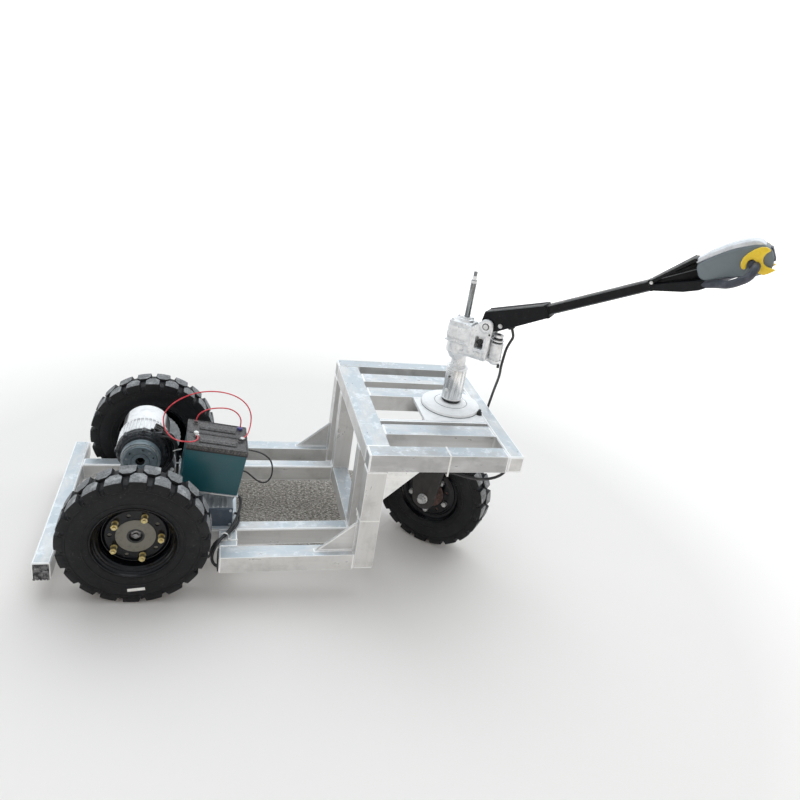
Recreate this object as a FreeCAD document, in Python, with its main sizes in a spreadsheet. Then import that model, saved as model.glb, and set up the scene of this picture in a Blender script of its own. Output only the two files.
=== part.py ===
"""Electric cargo tricycle: low welded platform, raised front deck, walking tiller.

A welded frame of square aluminium tube carries two batteries, a motor controller and a
driven rear axle. A fork turns under the front deck and is steered by a pump head and a
tiller of the pallet truck kind. Lengths are in millimetres and angles in degrees.
X points forward, Y to the left and Z up; the three tyres stand on Z = 0.
"""
import FreeCAD, Part
import math
import os
import re
import Sketcher
from FreeCAD import Placement, Rotation, Vector

doc = FreeCAD.newDocument("CargoTricycle")

# ---------------------------------------------------------------- driving dimensions
SIZES = [
    # wheels: pneumatic 4.00-8 tyre on a steel rim
    ("tyre_radius", 207.5), ("tyre_half_width", 52.5), ("tread_half_width", 42),
    ("shoulder_drop", 9), ("rim_radius", 101.6), ("rim_half_width", 38),
    ("rim_wall", 4), ("rim_flange_radius", 118.5), ("bead_clearance", 1),
    ("disc_thickness", 5), ("disc_step_radius", 82), ("disc_step_depth", 17),
    ("rear_disc_face", 4), ("front_disc_face", 36),
    ("pilot_radius", 54.5), ("hub_flange_thickness", 9),
    ("hub_barrel_radius", 36), ("hub_recess_radius", 20), ("hub_recess_floor", -14),
    ("wheelbase", 987), ("rear_wheel_side", 307), ("axle_offset", -10),
    # running gear
    ("shaft_radius", 15), ("shaft_reach", 34), ("running_gap", 0.05),
    ("side_gap", 5), ("axle_tube_radius", 30), ("axle_tube_root", 38),
    ("cover_plate_radius", 91), ("cover_plate_thickness", 5), ("cover_plate_side", 259),
    ("gear_case_half_width", 45), ("gear_case_radius", 84), ("gear_case_side", 80),
    ("motor_radius", 76), ("motor_length", 105),
    ("motor_x", -9), ("motor_z", 325), ("brake_radius", 58.5), ("brake_length", 34),
    ("brake_bore", 9), ("brake_neck_radius", 44), ("brake_neck_length", 8),
    # frame tubes
    ("tube", 55), ("rail_top", 142), ("half_width", 349.3),
    ("inner_rail_outer", 211), ("inner_rail_width", 45), ("inner_rail_height", 62),
    ("rear_beam_back", 270), ("rear_beam_width", 50), ("rear_beam_top", 133.5),
    ("rear_beam_height", 59), ("rear_beam_half", 340),
    ("outer_rail_rear", 231), ("post_rear", 639), ("post_depth", 61),
    ("deck_top", 499.6), ("deck_depth", 56.5), ("deck_overhang", 144),
    ("deck_rear_beam_width", 72), ("deck_front_beam_width", 50),
    ("slat_width", 66), ("slat_left_outer", 199), ("slat_left_inner", 84),
    ("slat_right_outer", -186), ("strip_centre", -124.5), ("strip_width", 15),
    ("turntable_plate_back", 121), ("turntable_plate_thickness", 12),
    ("gusset_thickness", 6), ("lower_gusset_reach", 121), ("lower_gusset_rise", 106),
    ("upper_gusset_reach", 99), ("upper_gusset_drop", 98),
    # steering, measured upward from the platform plane and outward from the steering axis
    ("frame_rake", 2.9), ("steer_rest", -40.8), ("column_radius", 27),
    ("flange_radius", 101), ("flange_thickness", 14), ("flange_collar_radius", 46),
    ("flange_collar_rise", 6), ("bearing_radius", 40), ("seal_radius", 31.5),
    ("seal_height", 9.7), ("seat_gap", 0.3), ("sleeve_radius", 35), ("sleeve_top", 648),
    ("crown_top", 427), ("crown_thickness", 12), ("crown_half_length", 78),
    ("leg_inner", 80), ("leg_thickness", 10), ("leg_end_radius", 42),
    ("front_axle_radius", 10), ("front_axle_half", 112), ("axle_nut_radius", 15),
    ("axle_nut_length", 14), ("front_hub_half", 60), ("spacer_radius", 17),
    ("neck_radius", 28), ("pump_bottom", 693), ("pump_top", 812), ("pump_radius", 40),
    ("pump_back", 12), ("pump_cap_radius", 26), ("pump_cap_height", 9),
    ("ram_radius", 9.5), ("ram_top", 951), ("ram_tip_radius", 6), ("ram_tip_length", 28),
    ("pivot_out", 83), ("pivot_height", 823.7), ("ear_radius", 24), ("ear_inner", 27),
    ("ear_thickness", 11), ("ear_foot", 715), ("block_front", 100), ("block_top", 781),
    ("block_bottom", 704), ("window_rear", 42), ("window_length", 20),
    ("window_bottom", 728), ("window_height", 36), ("plunger_out", 121),
    ("plunger_radius", 20), ("plunger_bottom", 716), ("plunger_top", 770),
    ("plunger_cap_radius", 15), ("plunger_cap_height", 17),
    # tiller, along its own axis from the pivot
    ("tiller_pitch", 29.6), ("pin_radius", 8), ("pin_half", 43), ("base_half_width", 25),
    ("base_length", 205), ("base_back_height", 46), ("base_front_height", 19),
    ("base_depth", 25), ("base_front_depth", 21), ("tube_half_height", 15),
    ("tube_half_width", 18), ("tube_end", 523), ("head_start", 652),
    ("head_end", 842), ("head_half_width", 41), ("head_bottom", -14),
    ("loop_radius", 11), ("loop_side", 92), ("lever_thickness", 13),
    # drive electronics and batteries, on the platform
    ("tray_rear", 96), ("tray_length", 189), ("tray_thickness", 3),
    ("controller_rear", 130), ("controller_length", 140), ("controller_right", -190),
    ("controller_width", 160), ("controller_height", 64), ("end_cover_thickness", 5),
    ("battery_rear", 104), ("battery_right", -186), ("battery_rise", 66),
    ("battery_lean", 8.4), ("battery_roll", -4.3), ("battery_length", 181),
    ("battery_width", 89), ("battery_gap", 4), ("case_height", 138), ("lid_height", 15),
    ("lid_overhang", 1.5), ("terminal_radius", 6), ("terminal_height", 6),
    ("lug_length", 16), ("lug_thickness", 4), ("cradle_thickness", 3), ("cradle_leg_width", 26),
    # cords
    ("control_cable", 9), ("sensor_lead", 8), ("phase_cable", 8), ("loop_lead", 5),
    ("power_lead", 4), ("gland_radius", 9), ("gland_length", 6),
    # the origin lies under the middle of the whole vehicle
    ("origin_forward", 662.2), ("origin_left", -117.35),
]

sheet = doc.addObject("Spreadsheet::Sheet", "Sizes")
for row, (alias, number) in enumerate(SIZES, start=1):
    sheet.set("A%d" % row, alias)
    sheet.set("B%d" % row, str(number))
    sheet.setAlias("B%d" % row, alias)
doc.recompute()

NAMES = {alias for alias, number in SIZES}


def at(alias):
    """The number in a named cell."""
    return float(sheet.get(alias))


def tied(expression):
    """An expression in the names of the sheet, as FreeCAD writes it."""
    return re.sub(r"[a-z_]+", lambda word: "Sizes." + word.group() if word.group() in NAMES
                  else word.group(), str(expression))


# ---------------------------------------------------------------- the moving frames
RAKE_PIVOT = Vector(0, 0, at("tyre_radius"))
ORIGIN = Placement(Vector(-at("origin_forward"), -at("origin_left"), 0), Rotation())
RAKE = Placement(Vector(), Rotation(Vector(0, 1, 0), -at("frame_rake")), RAKE_PIVOT)
PLATFORM = ORIGIN * RAKE
STEERING = PLATFORM * Placement(Vector(at("wheelbase"), 0, 0),
                                Rotation(Vector(0, 0, 1), at("steer_rest")))
TILLER = STEERING * Placement(Vector(at("pivot_out"), 0, at("pivot_height")),
                              Rotation(Vector(0, 1, 0), -at("tiller_pitch")))


def front_wheel_drop():
    """Height of the front wheel's centre over the platform plane, so that it stands."""
    rake = math.radians(at("frame_rake"))
    lean = math.asin(abs(math.sin(math.radians(at("steer_rest")))) * math.sin(rake))
    lowest_edge = at("tread_half_width") * math.sin(lean)
    centre_height = at("tyre_radius") * math.cos(lean) + lowest_edge
    climb = at("wheelbase") * math.sin(rake)
    return at("tyre_radius") + (centre_height - at("tyre_radius") - climb) / math.cos(rake)


WHEEL_DROP = front_wheel_drop()
FRONT_WHEEL = STEERING * Placement(Vector(0, 0, WHEEL_DROP), Rotation(Vector(0, 0, 1), 180))
# the rear axle sits a little to the right of the frame's middle
LEFT_WHEEL_Y = at("axle_offset") + at("rear_wheel_side")
RIGHT_WHEEL_Y = at("axle_offset") - at("rear_wheel_side")
REAR_WHEEL = {
    "left": ORIGIN * Placement(Vector(0, LEFT_WHEEL_Y, at("tyre_radius")), Rotation()),
    "right": ORIGIN * Placement(Vector(0, RIGHT_WHEEL_Y, at("tyre_radius")),
                                Rotation(Vector(0, 0, 1), 180)),
}
BATTERY_FLOOR = (at("rail_top") + at("tray_thickness") + at("controller_height")
                 + at("battery_rise"))
BATTERIES = PLATFORM * Placement(
    Vector(at("battery_rear"), at("battery_right"), BATTERY_FLOOR),
    Rotation(Vector(0, 1, 0), at("battery_lean")) * Rotation(Vector(1, 0, 0), at("battery_roll")))

AXES = {"x": Rotation(Vector(0, 1, 0), 90), "y": Rotation(Vector(1, 0, 0), -90), "z": Rotation()}

PIECES = []


# ---------------------------------------------------------------- solids tied to the sheet
def bind(obj, properties):
    for name, expression in properties.items():
        obj.setExpression(name, tied(expression))
    return obj


def base_of(x, y, z):
    return {"Placement.Base.x": x, "Placement.Base.y": y, "Placement.Base.z": z}


def box(name, x, y, z, length, width, height):
    """A block with its lowest corner at x, y, z."""
    block = doc.addObject("Part::Box", name)
    return bind(block, {"Length": length, "Width": width, "Height": height, **base_of(x, y, z)})


def rod(name, axis, x, y, z, radius, length):
    """A cylinder that starts at x, y, z and runs along an axis."""
    cylinder = doc.addObject("Part::Cylinder", name)
    cylinder.Placement = Placement(Vector(), AXES[axis])
    return bind(cylinder, {"Radius": radius, "Height": length, **base_of(x, y, z)})


def taper(name, axis, x, y, z, radius, end_radius, length):
    """A cone that starts at x, y, z and runs along an axis."""
    cone = doc.addObject("Part::Cone", name)
    cone.Placement = Placement(Vector(), AXES[axis])
    sizes = {"Radius1": radius, "Radius2": end_radius, "Height": length}
    return bind(cone, {**sizes, **base_of(x, y, z)})


def fuse(name, *solids):
    whole = doc.addObject("Part::MultiFuse", name)
    whole.Shapes = list(solids)
    whole.Refine = True
    return whole


def cut(name, base, *tools):
    """The base with the tools taken away."""
    hole = doc.addObject("Part::Cut", name)
    hole.Base = base
    hole.Tool = tools[0] if len(tools) == 1 else fuse(name + "Tools", *tools)
    return hole


def outline(body, plane, points):
    """A closed sketch of straight sides on an origin plane; each corner is tied to the sheet."""
    sketch = body.newObject("Sketcher::SketchObject", body.Name + "Outline")
    origin_plane = [f for f in body.Origin.OriginFeatures if f.Role == plane][0]
    sketch.AttachmentSupport = (origin_plane, [""])
    sketch.MapMode = "FlatFace"
    count = len(points)
    turn = [Vector(math.cos(2 * math.pi * k / count), math.sin(2 * math.pi * k / count))
            for k in range(count)]
    for k in range(count):
        sketch.addGeometry(Part.LineSegment(turn[k], turn[(k + 1) % count]))
    for k in range(count):
        following = (k + 1) % count
        sketch.addConstraint(Sketcher.Constraint("Coincident", k, 2, following, 1))
    for k, corner in enumerate(points):
        for way, expression, start in zip(("DistanceX", "DistanceY"), corner, turn[k]):
            number = sketch.addConstraint(Sketcher.Constraint(way, -1, 1, k, 1, start or 1))
            sketch.setExpression("Constraints[%d]" % number, tied(expression))
    return sketch


def plate(name, points, half_thickness):
    """A flat plate: an outline in X and Z, padded to both sides of the XZ plane."""
    body = doc.addObject("PartDesign::Body", name)
    sketch = outline(body, "XZ_Plane", points)
    pad = body.newObject("PartDesign::Pad", name + "Pad")
    pad.Profile = sketch
    pad.Midplane = True
    pad.setExpression("Length", tied("2 * (%s)" % half_thickness))
    return body


def turned(name, points):
    """A solid of revolution about Y, from an outline of radius and distance along Y."""
    body = doc.addObject("PartDesign::Body", name)
    sketch = outline(body, "XY_Plane", points)
    revolution = body.newObject("PartDesign::Revolution", name + "Turn")
    revolution.Profile = sketch
    revolution.ReferenceAxis = (sketch, ["V_Axis"])
    revolution.Angle = 360
    return body


def moved(name, solid, x, y, z, rotation=None):
    """A solid at another place in its frame."""
    group = doc.addObject("Part::Compound", name)
    group.Links = [solid]
    group.Placement = Placement(Vector(), rotation or Rotation())
    return bind(group, base_of(x, y, z))


def piece(label, frame, *solids):
    """A named sub-part of one or more solids, standing in one of the moving frames."""
    part = doc.addObject("Part::Compound", "Piece_" + label)
    part.Links = list(solids)
    part.Label = label
    part.Placement = frame
    PIECES.append(part)
    return part


def shaped(label, frame, shape):
    """A named sub-part with a shape that Part's own functions make."""
    part = doc.addObject("Part::Feature", "Piece_" + label)
    part.Shape = shape
    part.Label = label
    part.Placement = frame
    PIECES.append(part)
    return part



# ---------------------------------------------------------------- wheels
def wheel_solids(name, disc_face):
    """Tyre and rim of one wheel, turned about Y with the tyre's middle at Y = 0."""
    tyre = turned(name + "Tyre", [
        ("rim_radius", "-rim_half_width"),
        ("rim_flange_radius + bead_clearance", "-rim_half_width"),
        ("rim_flange_radius + 14", "-tyre_half_width + 4"),
        ("tyre_radius - 52", "-tyre_half_width"),
        ("tyre_radius - 20", "-tyre_half_width + 4"),
        ("tyre_radius - shoulder_drop / 2", "-tread_half_width - 4"),
        ("tyre_radius", "-tread_half_width"),
        ("tyre_radius", "tread_half_width"),
        ("tyre_radius - shoulder_drop / 2", "tread_half_width + 4"),
        ("tyre_radius - 20", "tyre_half_width - 4"),
        ("tyre_radius - 52", "tyre_half_width"),
        ("rim_flange_radius + 14", "tyre_half_width - 4"),
        ("rim_flange_radius + bead_clearance", "rim_half_width"),
        ("rim_radius", "rim_half_width")])
    rim = turned(name + "Rim", [
        ("rim_radius - rim_wall", "-rim_half_width - rim_wall"),
        ("rim_flange_radius", "-rim_half_width - rim_wall"),
        ("rim_flange_radius", "-rim_half_width"),
        ("rim_radius", "-rim_half_width"),
        ("rim_radius", "rim_half_width"),
        ("rim_flange_radius", "rim_half_width"),
        ("rim_flange_radius", "rim_half_width + rim_wall"),
        ("rim_radius - rim_wall", "rim_half_width + rim_wall"),
        ("rim_radius - rim_wall", disc_face + " - disc_step_depth"),
        ("disc_step_radius + 6", disc_face + " - disc_step_depth"),
        ("disc_step_radius", disc_face),
        ("pilot_radius", disc_face),
        ("pilot_radius", disc_face + " - disc_thickness"),
        ("disc_step_radius - 4", disc_face + " - disc_thickness"),
        ("disc_step_radius + 2", disc_face + " - disc_thickness - disc_step_depth"),
        ("rim_radius - rim_wall", disc_face + " - disc_thickness - disc_step_depth")])
    return tyre, rim


rear_tyre, rear_rim = wheel_solids("Rear", "rear_disc_face")
front_tyre, front_rim = wheel_solids("Front", "front_disc_face")

# a driven hub: its shaft turns in the axle tube
rear_hub = fuse(
    "RearHub",
    cut("RearHubFace",
        rod("RearPilot", "y", 0, "rear_disc_face - disc_thickness", 0, "pilot_radius",
            "disc_thickness + 2"),
        rod("RearRecess", "y", 0, "rear_disc_face - disc_thickness - 1", 0,
            "hub_recess_radius", "disc_thickness + 5")),
    cut("RearHubBody",
        fuse("RearHubBlank",
             rod("RearFlange", "y", 0, "rear_disc_face - disc_thickness - hub_flange_thickness",
                 0, "disc_step_radius - 6", "hub_flange_thickness"),
             rod("RearBarrel", "y", 0, "hub_recess_floor - 10", 0, "hub_barrel_radius",
                 "rear_disc_face - disc_thickness - hub_recess_floor + 10")),
        rod("RearRecessDeep", "y", 0, "hub_recess_floor", 0, "hub_recess_radius",
            "rear_disc_face - hub_recess_floor")),
    rod("RearShaft", "y", 0, "cover_plate_side - rear_wheel_side - shaft_reach", 0,
        "shaft_radius",
        "rear_wheel_side - cover_plate_side + shaft_reach + hub_recess_floor + 2"))
front_hub = cut(
    "FrontHub",
    fuse("FrontHubBlank",
         rod("FrontBarrel", "y", 0, "-front_hub_half", 0, "hub_barrel_radius",
             "2 * front_hub_half"),
         rod("FrontFlange", "y", 0, "front_disc_face - disc_thickness - hub_flange_thickness", 0,
             "disc_step_radius - 6", "hub_flange_thickness"),
         rod("FrontPilot", "y", 0, "front_disc_face - disc_thickness", 0, "pilot_radius",
             "disc_thickness + 3")),
    rod("FrontHubBore", "y", 0, "-front_hub_half - 1", 0, "front_axle_radius + running_gap",
        "2 * front_hub_half + 2"))

for side, frame in REAR_WHEEL.items():
    piece("rear_tyre_" + side, frame, rear_tyre)
    piece("rear_rim_" + side, frame, rear_rim)
    piece("rear_hub_" + side, frame, rear_hub)
piece("front_tyre", FRONT_WHEEL, front_tyre)
piece("front_rim", FRONT_WHEEL, front_rim)
piece("front_hub", FRONT_WHEEL, front_hub)

# ---------------------------------------------------------------- frame
piece("rear_beam", PLATFORM,
      box("RearBeam", "-rear_beam_back", "-rear_beam_half", "rear_beam_top - rear_beam_height",
          "rear_beam_width", "2 * rear_beam_half", "rear_beam_height"))


def both_sides(label, x, z, length, height, inner, outer):
    """Two like tubes, one on each side of the middle, between two distances from it."""
    width = "(%s) - (%s)" % (outer, inner)
    piece(label, PLATFORM,
          box(label + "_l", x, inner, z, length, width, height),
          box(label + "_r", x, "-(%s)" % outer, z, length, width, height))


INNER = ("inner_rail_outer - inner_rail_width", "inner_rail_outer")
OUTER = ("half_width - tube", "half_width")
BEAM_FRONT = "(rear_beam_width - rear_beam_back)"
UNDER_DECK = "(deck_top - deck_depth)"
INNER_BOTTOM = "(rail_top - inner_rail_height)"
OUTER_BOTTOM = "(rail_top - tube)"
POST_FRONT = "post_rear + post_depth"
DECK_BEAM_REAR = "wheelbase + deck_overhang - deck_front_beam_width"
both_sides("inner_rails", BEAM_FRONT, INNER_BOTTOM, "post_rear - " + BEAM_FRONT,
           "inner_rail_height", *INNER)
both_sides("cross_stubs", "outer_rail_rear", OUTER_BOTTOM, "tube", "tube",
           "inner_rail_outer", "half_width - tube")
both_sides("inner_posts", "post_rear", INNER_BOTTOM, "post_depth",
           UNDER_DECK + " - " + INNER_BOTTOM, *INNER)
both_sides("outer_posts", "post_rear", OUTER_BOTTOM, "post_depth",
           UNDER_DECK + " - " + OUTER_BOTTOM, *OUTER)
both_sides("deck_side_rails", "post_rear", UNDER_DECK,
           DECK_BEAM_REAR + " - post_rear", "deck_depth", *OUTER)

lower_gusset = plate("LowerGusset", [
    ("post_rear - lower_gusset_reach", "rail_top"), ("post_rear", "rail_top"),
    ("post_rear", "rail_top + lower_gusset_rise")], "gusset_thickness / 2")


def outer_rail(side, low, middle):
    """An outer rail with the gusset that is welded along the middle of its top."""
    return fuse("OuterRail" + side,
                box("OuterRailTube" + side, "outer_rail_rear", low, OUTER_BOTTOM,
                    "post_rear - outer_rail_rear", "tube", "tube"),
                moved("LowerGusset" + side, lower_gusset, 0, middle, 0))


piece("outer_rails", PLATFORM, outer_rail("Left", OUTER[0], "half_width - tube / 2"),
      outer_rail("Right", "-half_width", "tube / 2 - half_width"))
upper_gusset = plate("UpperGusset", [
    (POST_FRONT, UNDER_DECK + " - upper_gusset_drop"),
    (POST_FRONT + " + upper_gusset_reach", UNDER_DECK), (POST_FRONT, UNDER_DECK)],
    "gusset_thickness / 2")
piece("frame_gussets", PLATFORM,
      moved("UpperGussetLeft", upper_gusset, 0, "half_width - gusset_thickness / 2", 0),
      moved("UpperGussetRight", upper_gusset, 0, "gusset_thickness / 2 - half_width", 0))

piece("front_cross_tube", PLATFORM,
      box("FrontCrossTube", "post_rear", "-inner_rail_outer + inner_rail_width",
          "rail_top - tube", "tube", "2 * (inner_rail_outer - inner_rail_width)", "tube"))
piece("deck_rear_beam", PLATFORM,
      box("DeckRearBeam", "post_rear", "-half_width + tube", "deck_top - deck_depth",
          "deck_rear_beam_width", "2 * (half_width - tube)", "deck_depth"))
piece("deck_front_beam", PLATFORM,
      box("DeckFrontBeam", DECK_BEAM_REAR, "-half_width",
          "deck_top - deck_depth", "deck_front_beam_width", "2 * half_width", "deck_depth"))

SLAT_REAR = "post_rear + deck_rear_beam_width"
SLAT_LENGTH = DECK_BEAM_REAR + " - post_rear - deck_rear_beam_width"
SLATS = [("slat_left_outer", "slat_width"), ("slat_left_inner", "slat_width"),
         ("strip_centre", "strip_width"), ("slat_right_outer", "slat_width")]
piece("deck_slats", PLATFORM, *[
    box("DeckSlat%d" % number, SLAT_REAR, "%s - %s / 2" % (centre, width), UNDER_DECK,
        SLAT_LENGTH, width, "deck_depth")
    for number, (centre, width) in enumerate(SLATS, start=1)])
PLATE_RIGHT = "strip_centre + strip_width / 2"
PLATE_LENGTH = "deck_overhang - deck_front_beam_width + turntable_plate_back"
piece("turntable_plate", PLATFORM,
      cut("TurntablePlate",
          box("TurntablePlateBlank", "wheelbase - turntable_plate_back", PLATE_RIGHT,
              "deck_top - turntable_plate_thickness", PLATE_LENGTH,
              "slat_left_inner - slat_width / 2 - (%s)" % PLATE_RIGHT,
              "turntable_plate_thickness"),
          rod("TurntablePlateHole", "z", "wheelbase", 0,
              "deck_top - turntable_plate_thickness - 1", "bearing_radius",
              "turntable_plate_thickness + 2")))
COLLAR_TOP = "deck_top + flange_thickness + flange_collar_rise"
piece("turntable_flange", PLATFORM,
      cut("TurntableFlange",
          fuse("TurntableFlangeBlank",
               rod("FlangeRing", "z", "wheelbase", 0, "deck_top", "flange_radius",
                   "flange_thickness"),
               rod("FlangeCollar", "z", "wheelbase", 0, "deck_top", "flange_collar_radius",
                   "flange_thickness + flange_collar_rise"),
               rod("BearingTube", "z", "wheelbase", 0, "crown_top + side_gap",
                   "bearing_radius", "deck_top - crown_top - side_gap")),
          rod("FlangeBore", "z", "wheelbase", 0, "crown_top", "column_radius + running_gap",
              "deck_top - crown_top + flange_thickness + flange_collar_rise + 1")))

# ---------------------------------------------------------------- steering
CROWN_BOTTOM = "crown_top - crown_thickness"
piece("fork_crown", STEERING,
      box("ForkCrown", "-crown_half_length", "-leg_inner - leg_thickness", CROWN_BOTTOM,
          "2 * crown_half_length", "2 * (leg_inner + leg_thickness)", "crown_thickness"))
piece("steering_column", STEERING,
      rod("SteeringColumn", "z", 0, 0, "crown_top", "column_radius", "sleeve_top - crown_top"))
piece("column_seal", STEERING,
      cut("ColumnSeal",
          rod("SealBlank", "z", 0, 0, COLLAR_TOP + " + seat_gap", "seal_radius", "seal_height"),
          rod("SealBore", "z", 0, 0, COLLAR_TOP, "column_radius", "seal_height + 2")))
piece("steering_sleeve", STEERING,
      cut("SteeringSleeve",
          rod("SleeveBlank", "z", 0, 0, COLLAR_TOP + " + seat_gap + seal_height",
              "sleeve_radius", "sleeve_top - (%s) - seat_gap - seal_height" % COLLAR_TOP),
          rod("SleeveBore", "z", 0, 0, COLLAR_TOP, "column_radius",
              "sleeve_top - (%s) + 1" % COLLAR_TOP)))


def fork_leg():
    """Leg plate, wide at the crown and round at the axle, which is its own origin."""
    crown = at("crown_top") - at("crown_thickness") - WHEEL_DROP
    half, end = at("crown_half_length"), at("leg_end_radius")
    angle = math.atan2(crown, half) - math.acos(end / math.hypot(half, crown))
    right = Vector(end * math.cos(angle), 0, end * math.sin(angle))
    left = Vector(-right.x, 0, right.z)
    edges = [Part.LineSegment(Vector(-half, 0, crown), Vector(half, 0, crown)).toShape(),
             Part.LineSegment(Vector(half, 0, crown), right).toShape(),
             Part.Arc(right, Vector(0, 0, -end), left).toShape(),
             Part.LineSegment(left, Vector(-half, 0, crown)).toShape()]
    leg = Part.Face(Part.Wire(edges)).extrude(Vector(0, at("leg_thickness"), 0))
    hole = Part.makeCylinder(at("front_axle_radius"), at("leg_thickness") + 2,
                             Vector(0, -1, 0), Vector(0, 1, 0))
    return leg.cut(hole)


leg_left, leg_right = fork_leg(), fork_leg()
leg_left.translate(Vector(0, at("leg_inner"), WHEEL_DROP))
leg_right.translate(Vector(0, -at("leg_inner") - at("leg_thickness"), WHEEL_DROP))
shaped("fork_legs", STEERING, Part.makeCompound([leg_left, leg_right]))


def nut(name, y):
    """A hexagon nut that starts at y and runs outward along Y."""
    hexagon = doc.addObject("Part::Prism", name)
    hexagon.Polygon = 6
    hexagon.Placement = Placement(Vector(), AXES["y"])
    return bind(hexagon, {"Circumradius": "axle_nut_radius", "Height": "axle_nut_length",
                          **base_of(0, y, 0)})


SPACER_LENGTH = "leg_inner - front_hub_half - seat_gap"
piece("front_axle", STEERING * Placement(Vector(0, 0, WHEEL_DROP), Rotation()),
      fuse("FrontAxle",
           rod("AxleRod", "y", 0, "-front_axle_half", 0, "front_axle_radius",
               "2 * front_axle_half"),
           nut("AxleNutLeft", "leg_inner + leg_thickness"),
           nut("AxleNutRight", "-leg_inner - leg_thickness - axle_nut_length"),
           rod("SpacerLeft", "y", 0, "front_hub_half + seat_gap", 0, "spacer_radius",
               SPACER_LENGTH),
           rod("SpacerRight", "y", 0, "-leg_inner", 0, "spacer_radius", SPACER_LENGTH)))

ear = plate("PumpEar", [
    ("-pump_back + pump_radius - 8", "ear_foot"), ("block_front", "ear_foot"),
    ("pivot_out + ear_radius", "pivot_height - 3"), ("pivot_out - 12", "pivot_height + 21"),
    ("-pump_back + pump_radius - 4", "pump_top - 18")], "ear_thickness / 2")
EAR_MIDDLE = "(ear_inner + ear_thickness / 2)"
piece("pump_body", STEERING,
      cut("PumpBody",
          fuse("PumpBodyBlank",
               rod("PumpNeck", "z", 0, 0, "sleeve_top", "neck_radius",
                   "pump_bottom - sleeve_top"),
               rod("PumpBarrel", "z", "-pump_back", 0, "pump_bottom", "pump_radius",
                   "pump_top - pump_bottom"),
               rod("PumpCap", "z", 0, 0, "pump_top", "pump_cap_radius", "pump_cap_height"),
               box("PumpBlock", 0, "-ear_inner - ear_thickness", "block_bottom", "block_front",
                   "2 * (ear_inner + ear_thickness)", "ear_foot + 5 - block_bottom"),
               box("PumpWeb", 0, "-ear_inner - 1", "block_bottom", "block_front",
                   "2 * ear_inner + 2", "block_top - block_bottom"),
               rod("PlungerFoot", "z", "plunger_out", 0, "block_bottom", "plunger_radius + 2",
                   "plunger_bottom - block_bottom"),
               moved("EarLeft", ear, 0, EAR_MIDDLE, 0),
               moved("EarRight", ear, 0, "-" + EAR_MIDDLE, 0),
               rod("EarBossLeft", "y", "pivot_out", "ear_inner", "pivot_height", "ear_radius",
                   "ear_thickness"),
               rod("EarBossRight", "y", "pivot_out", "-ear_inner - ear_thickness",
                   "pivot_height", "ear_radius", "ear_thickness")),
          box("PumpWindow", "window_rear", "-ear_inner - ear_thickness - 1", "window_bottom",
              "window_length", "2 * (ear_inner + ear_thickness + 1)", "window_height"),
          rod("EarBores", "y", "pivot_out", "-ear_inner - ear_thickness - 1", "pivot_height",
              "pin_radius", "2 * (ear_inner + ear_thickness + 1)"),
          rod("PlungerClearance", "z", "plunger_out", 0, "plunger_bottom",
              "plunger_radius", "block_top")))
piece("tiller_pin", STEERING,
      rod("TillerPin", "y", "pivot_out", "-pin_half", "pivot_height", "pin_radius",
          "2 * pin_half"))
piece("ram_rod", STEERING,
      fuse("RamRod",
           rod("RamBar", "z", 0, 0, "pump_top + pump_cap_height", "ram_radius",
               "ram_top - pump_top - pump_cap_height"),
           rod("RamTip", "z", 0, 0, "ram_top", "ram_tip_radius", "ram_tip_length")))
piece("pump_cylinder", STEERING,
      fuse("PumpCylinder",
           rod("PlungerBarrel", "z", "plunger_out", 0, "plunger_bottom", "plunger_radius",
               "plunger_top - plunger_bottom"),
           rod("PlungerCap", "z", "plunger_out", 0, "plunger_top", "plunger_cap_radius",
               "plunger_cap_height")))

# ---------------------------------------------------------------- tiller
piece("tiller_base", TILLER,
      cut("TillerBase",
          fuse("TillerBaseBlank",
               plate("TillerBlock", [
                   ("-22", "-18"), ("30", "-base_depth"), ("base_length", "-base_front_depth"),
                   ("base_length", "base_front_height"), ("6", "base_back_height"),
                   ("-22", "12")], "base_half_width"),
               rod("CableGland", "z", 68, 0, "-base_depth - gland_length", "gland_radius",
                   "gland_length + 8")),
          rod("PinBore", "y", 0, "-base_half_width - 1", 0, "pin_radius + running_gap",
              "2 * base_half_width + 2")))
piece("tiller_tube", TILLER,
      box("TillerTube", "base_length", "-tube_half_width", "-tube_half_height + 1",
          "tube_end - base_length", "2 * tube_half_width", "2 * tube_half_height"))


def tapered_bar():
    """The bracket that widens from the tube's end to the head and its loops."""
    def section(x, half, low, high):
        corners = [Vector(x, -half, low), Vector(x, half, low), Vector(x, half, high),
                   Vector(x, -half, high), Vector(x, -half, low)]
        return Part.makePolygon(corners)

    tube_low = 1 - at("tube_half_height")
    near = section(at("tube_end"), at("tube_half_width"), tube_low,
                   tube_low + 2 * at("tube_half_height"))
    far = section(at("head_start"), at("head_half_width") - 7, at("head_bottom") - 20, 45)
    return Part.makeLoft([near, far], True, True)


shaped("head_bracket", TILLER, tapered_bar())
piece("tiller_head", TILLER,
      plate("TillerHead", [
          ("head_start", "head_bottom"), ("head_start + 118", "head_bottom - 2"),
          ("head_end - 8", "head_bottom + 2"), ("head_end", 8), ("head_end - 8", 36),
          ("head_end - 34", 56), ("head_end - 84", 52), ("head_end - 140", 42),
          ("head_start", 31)], "head_half_width"))


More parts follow.
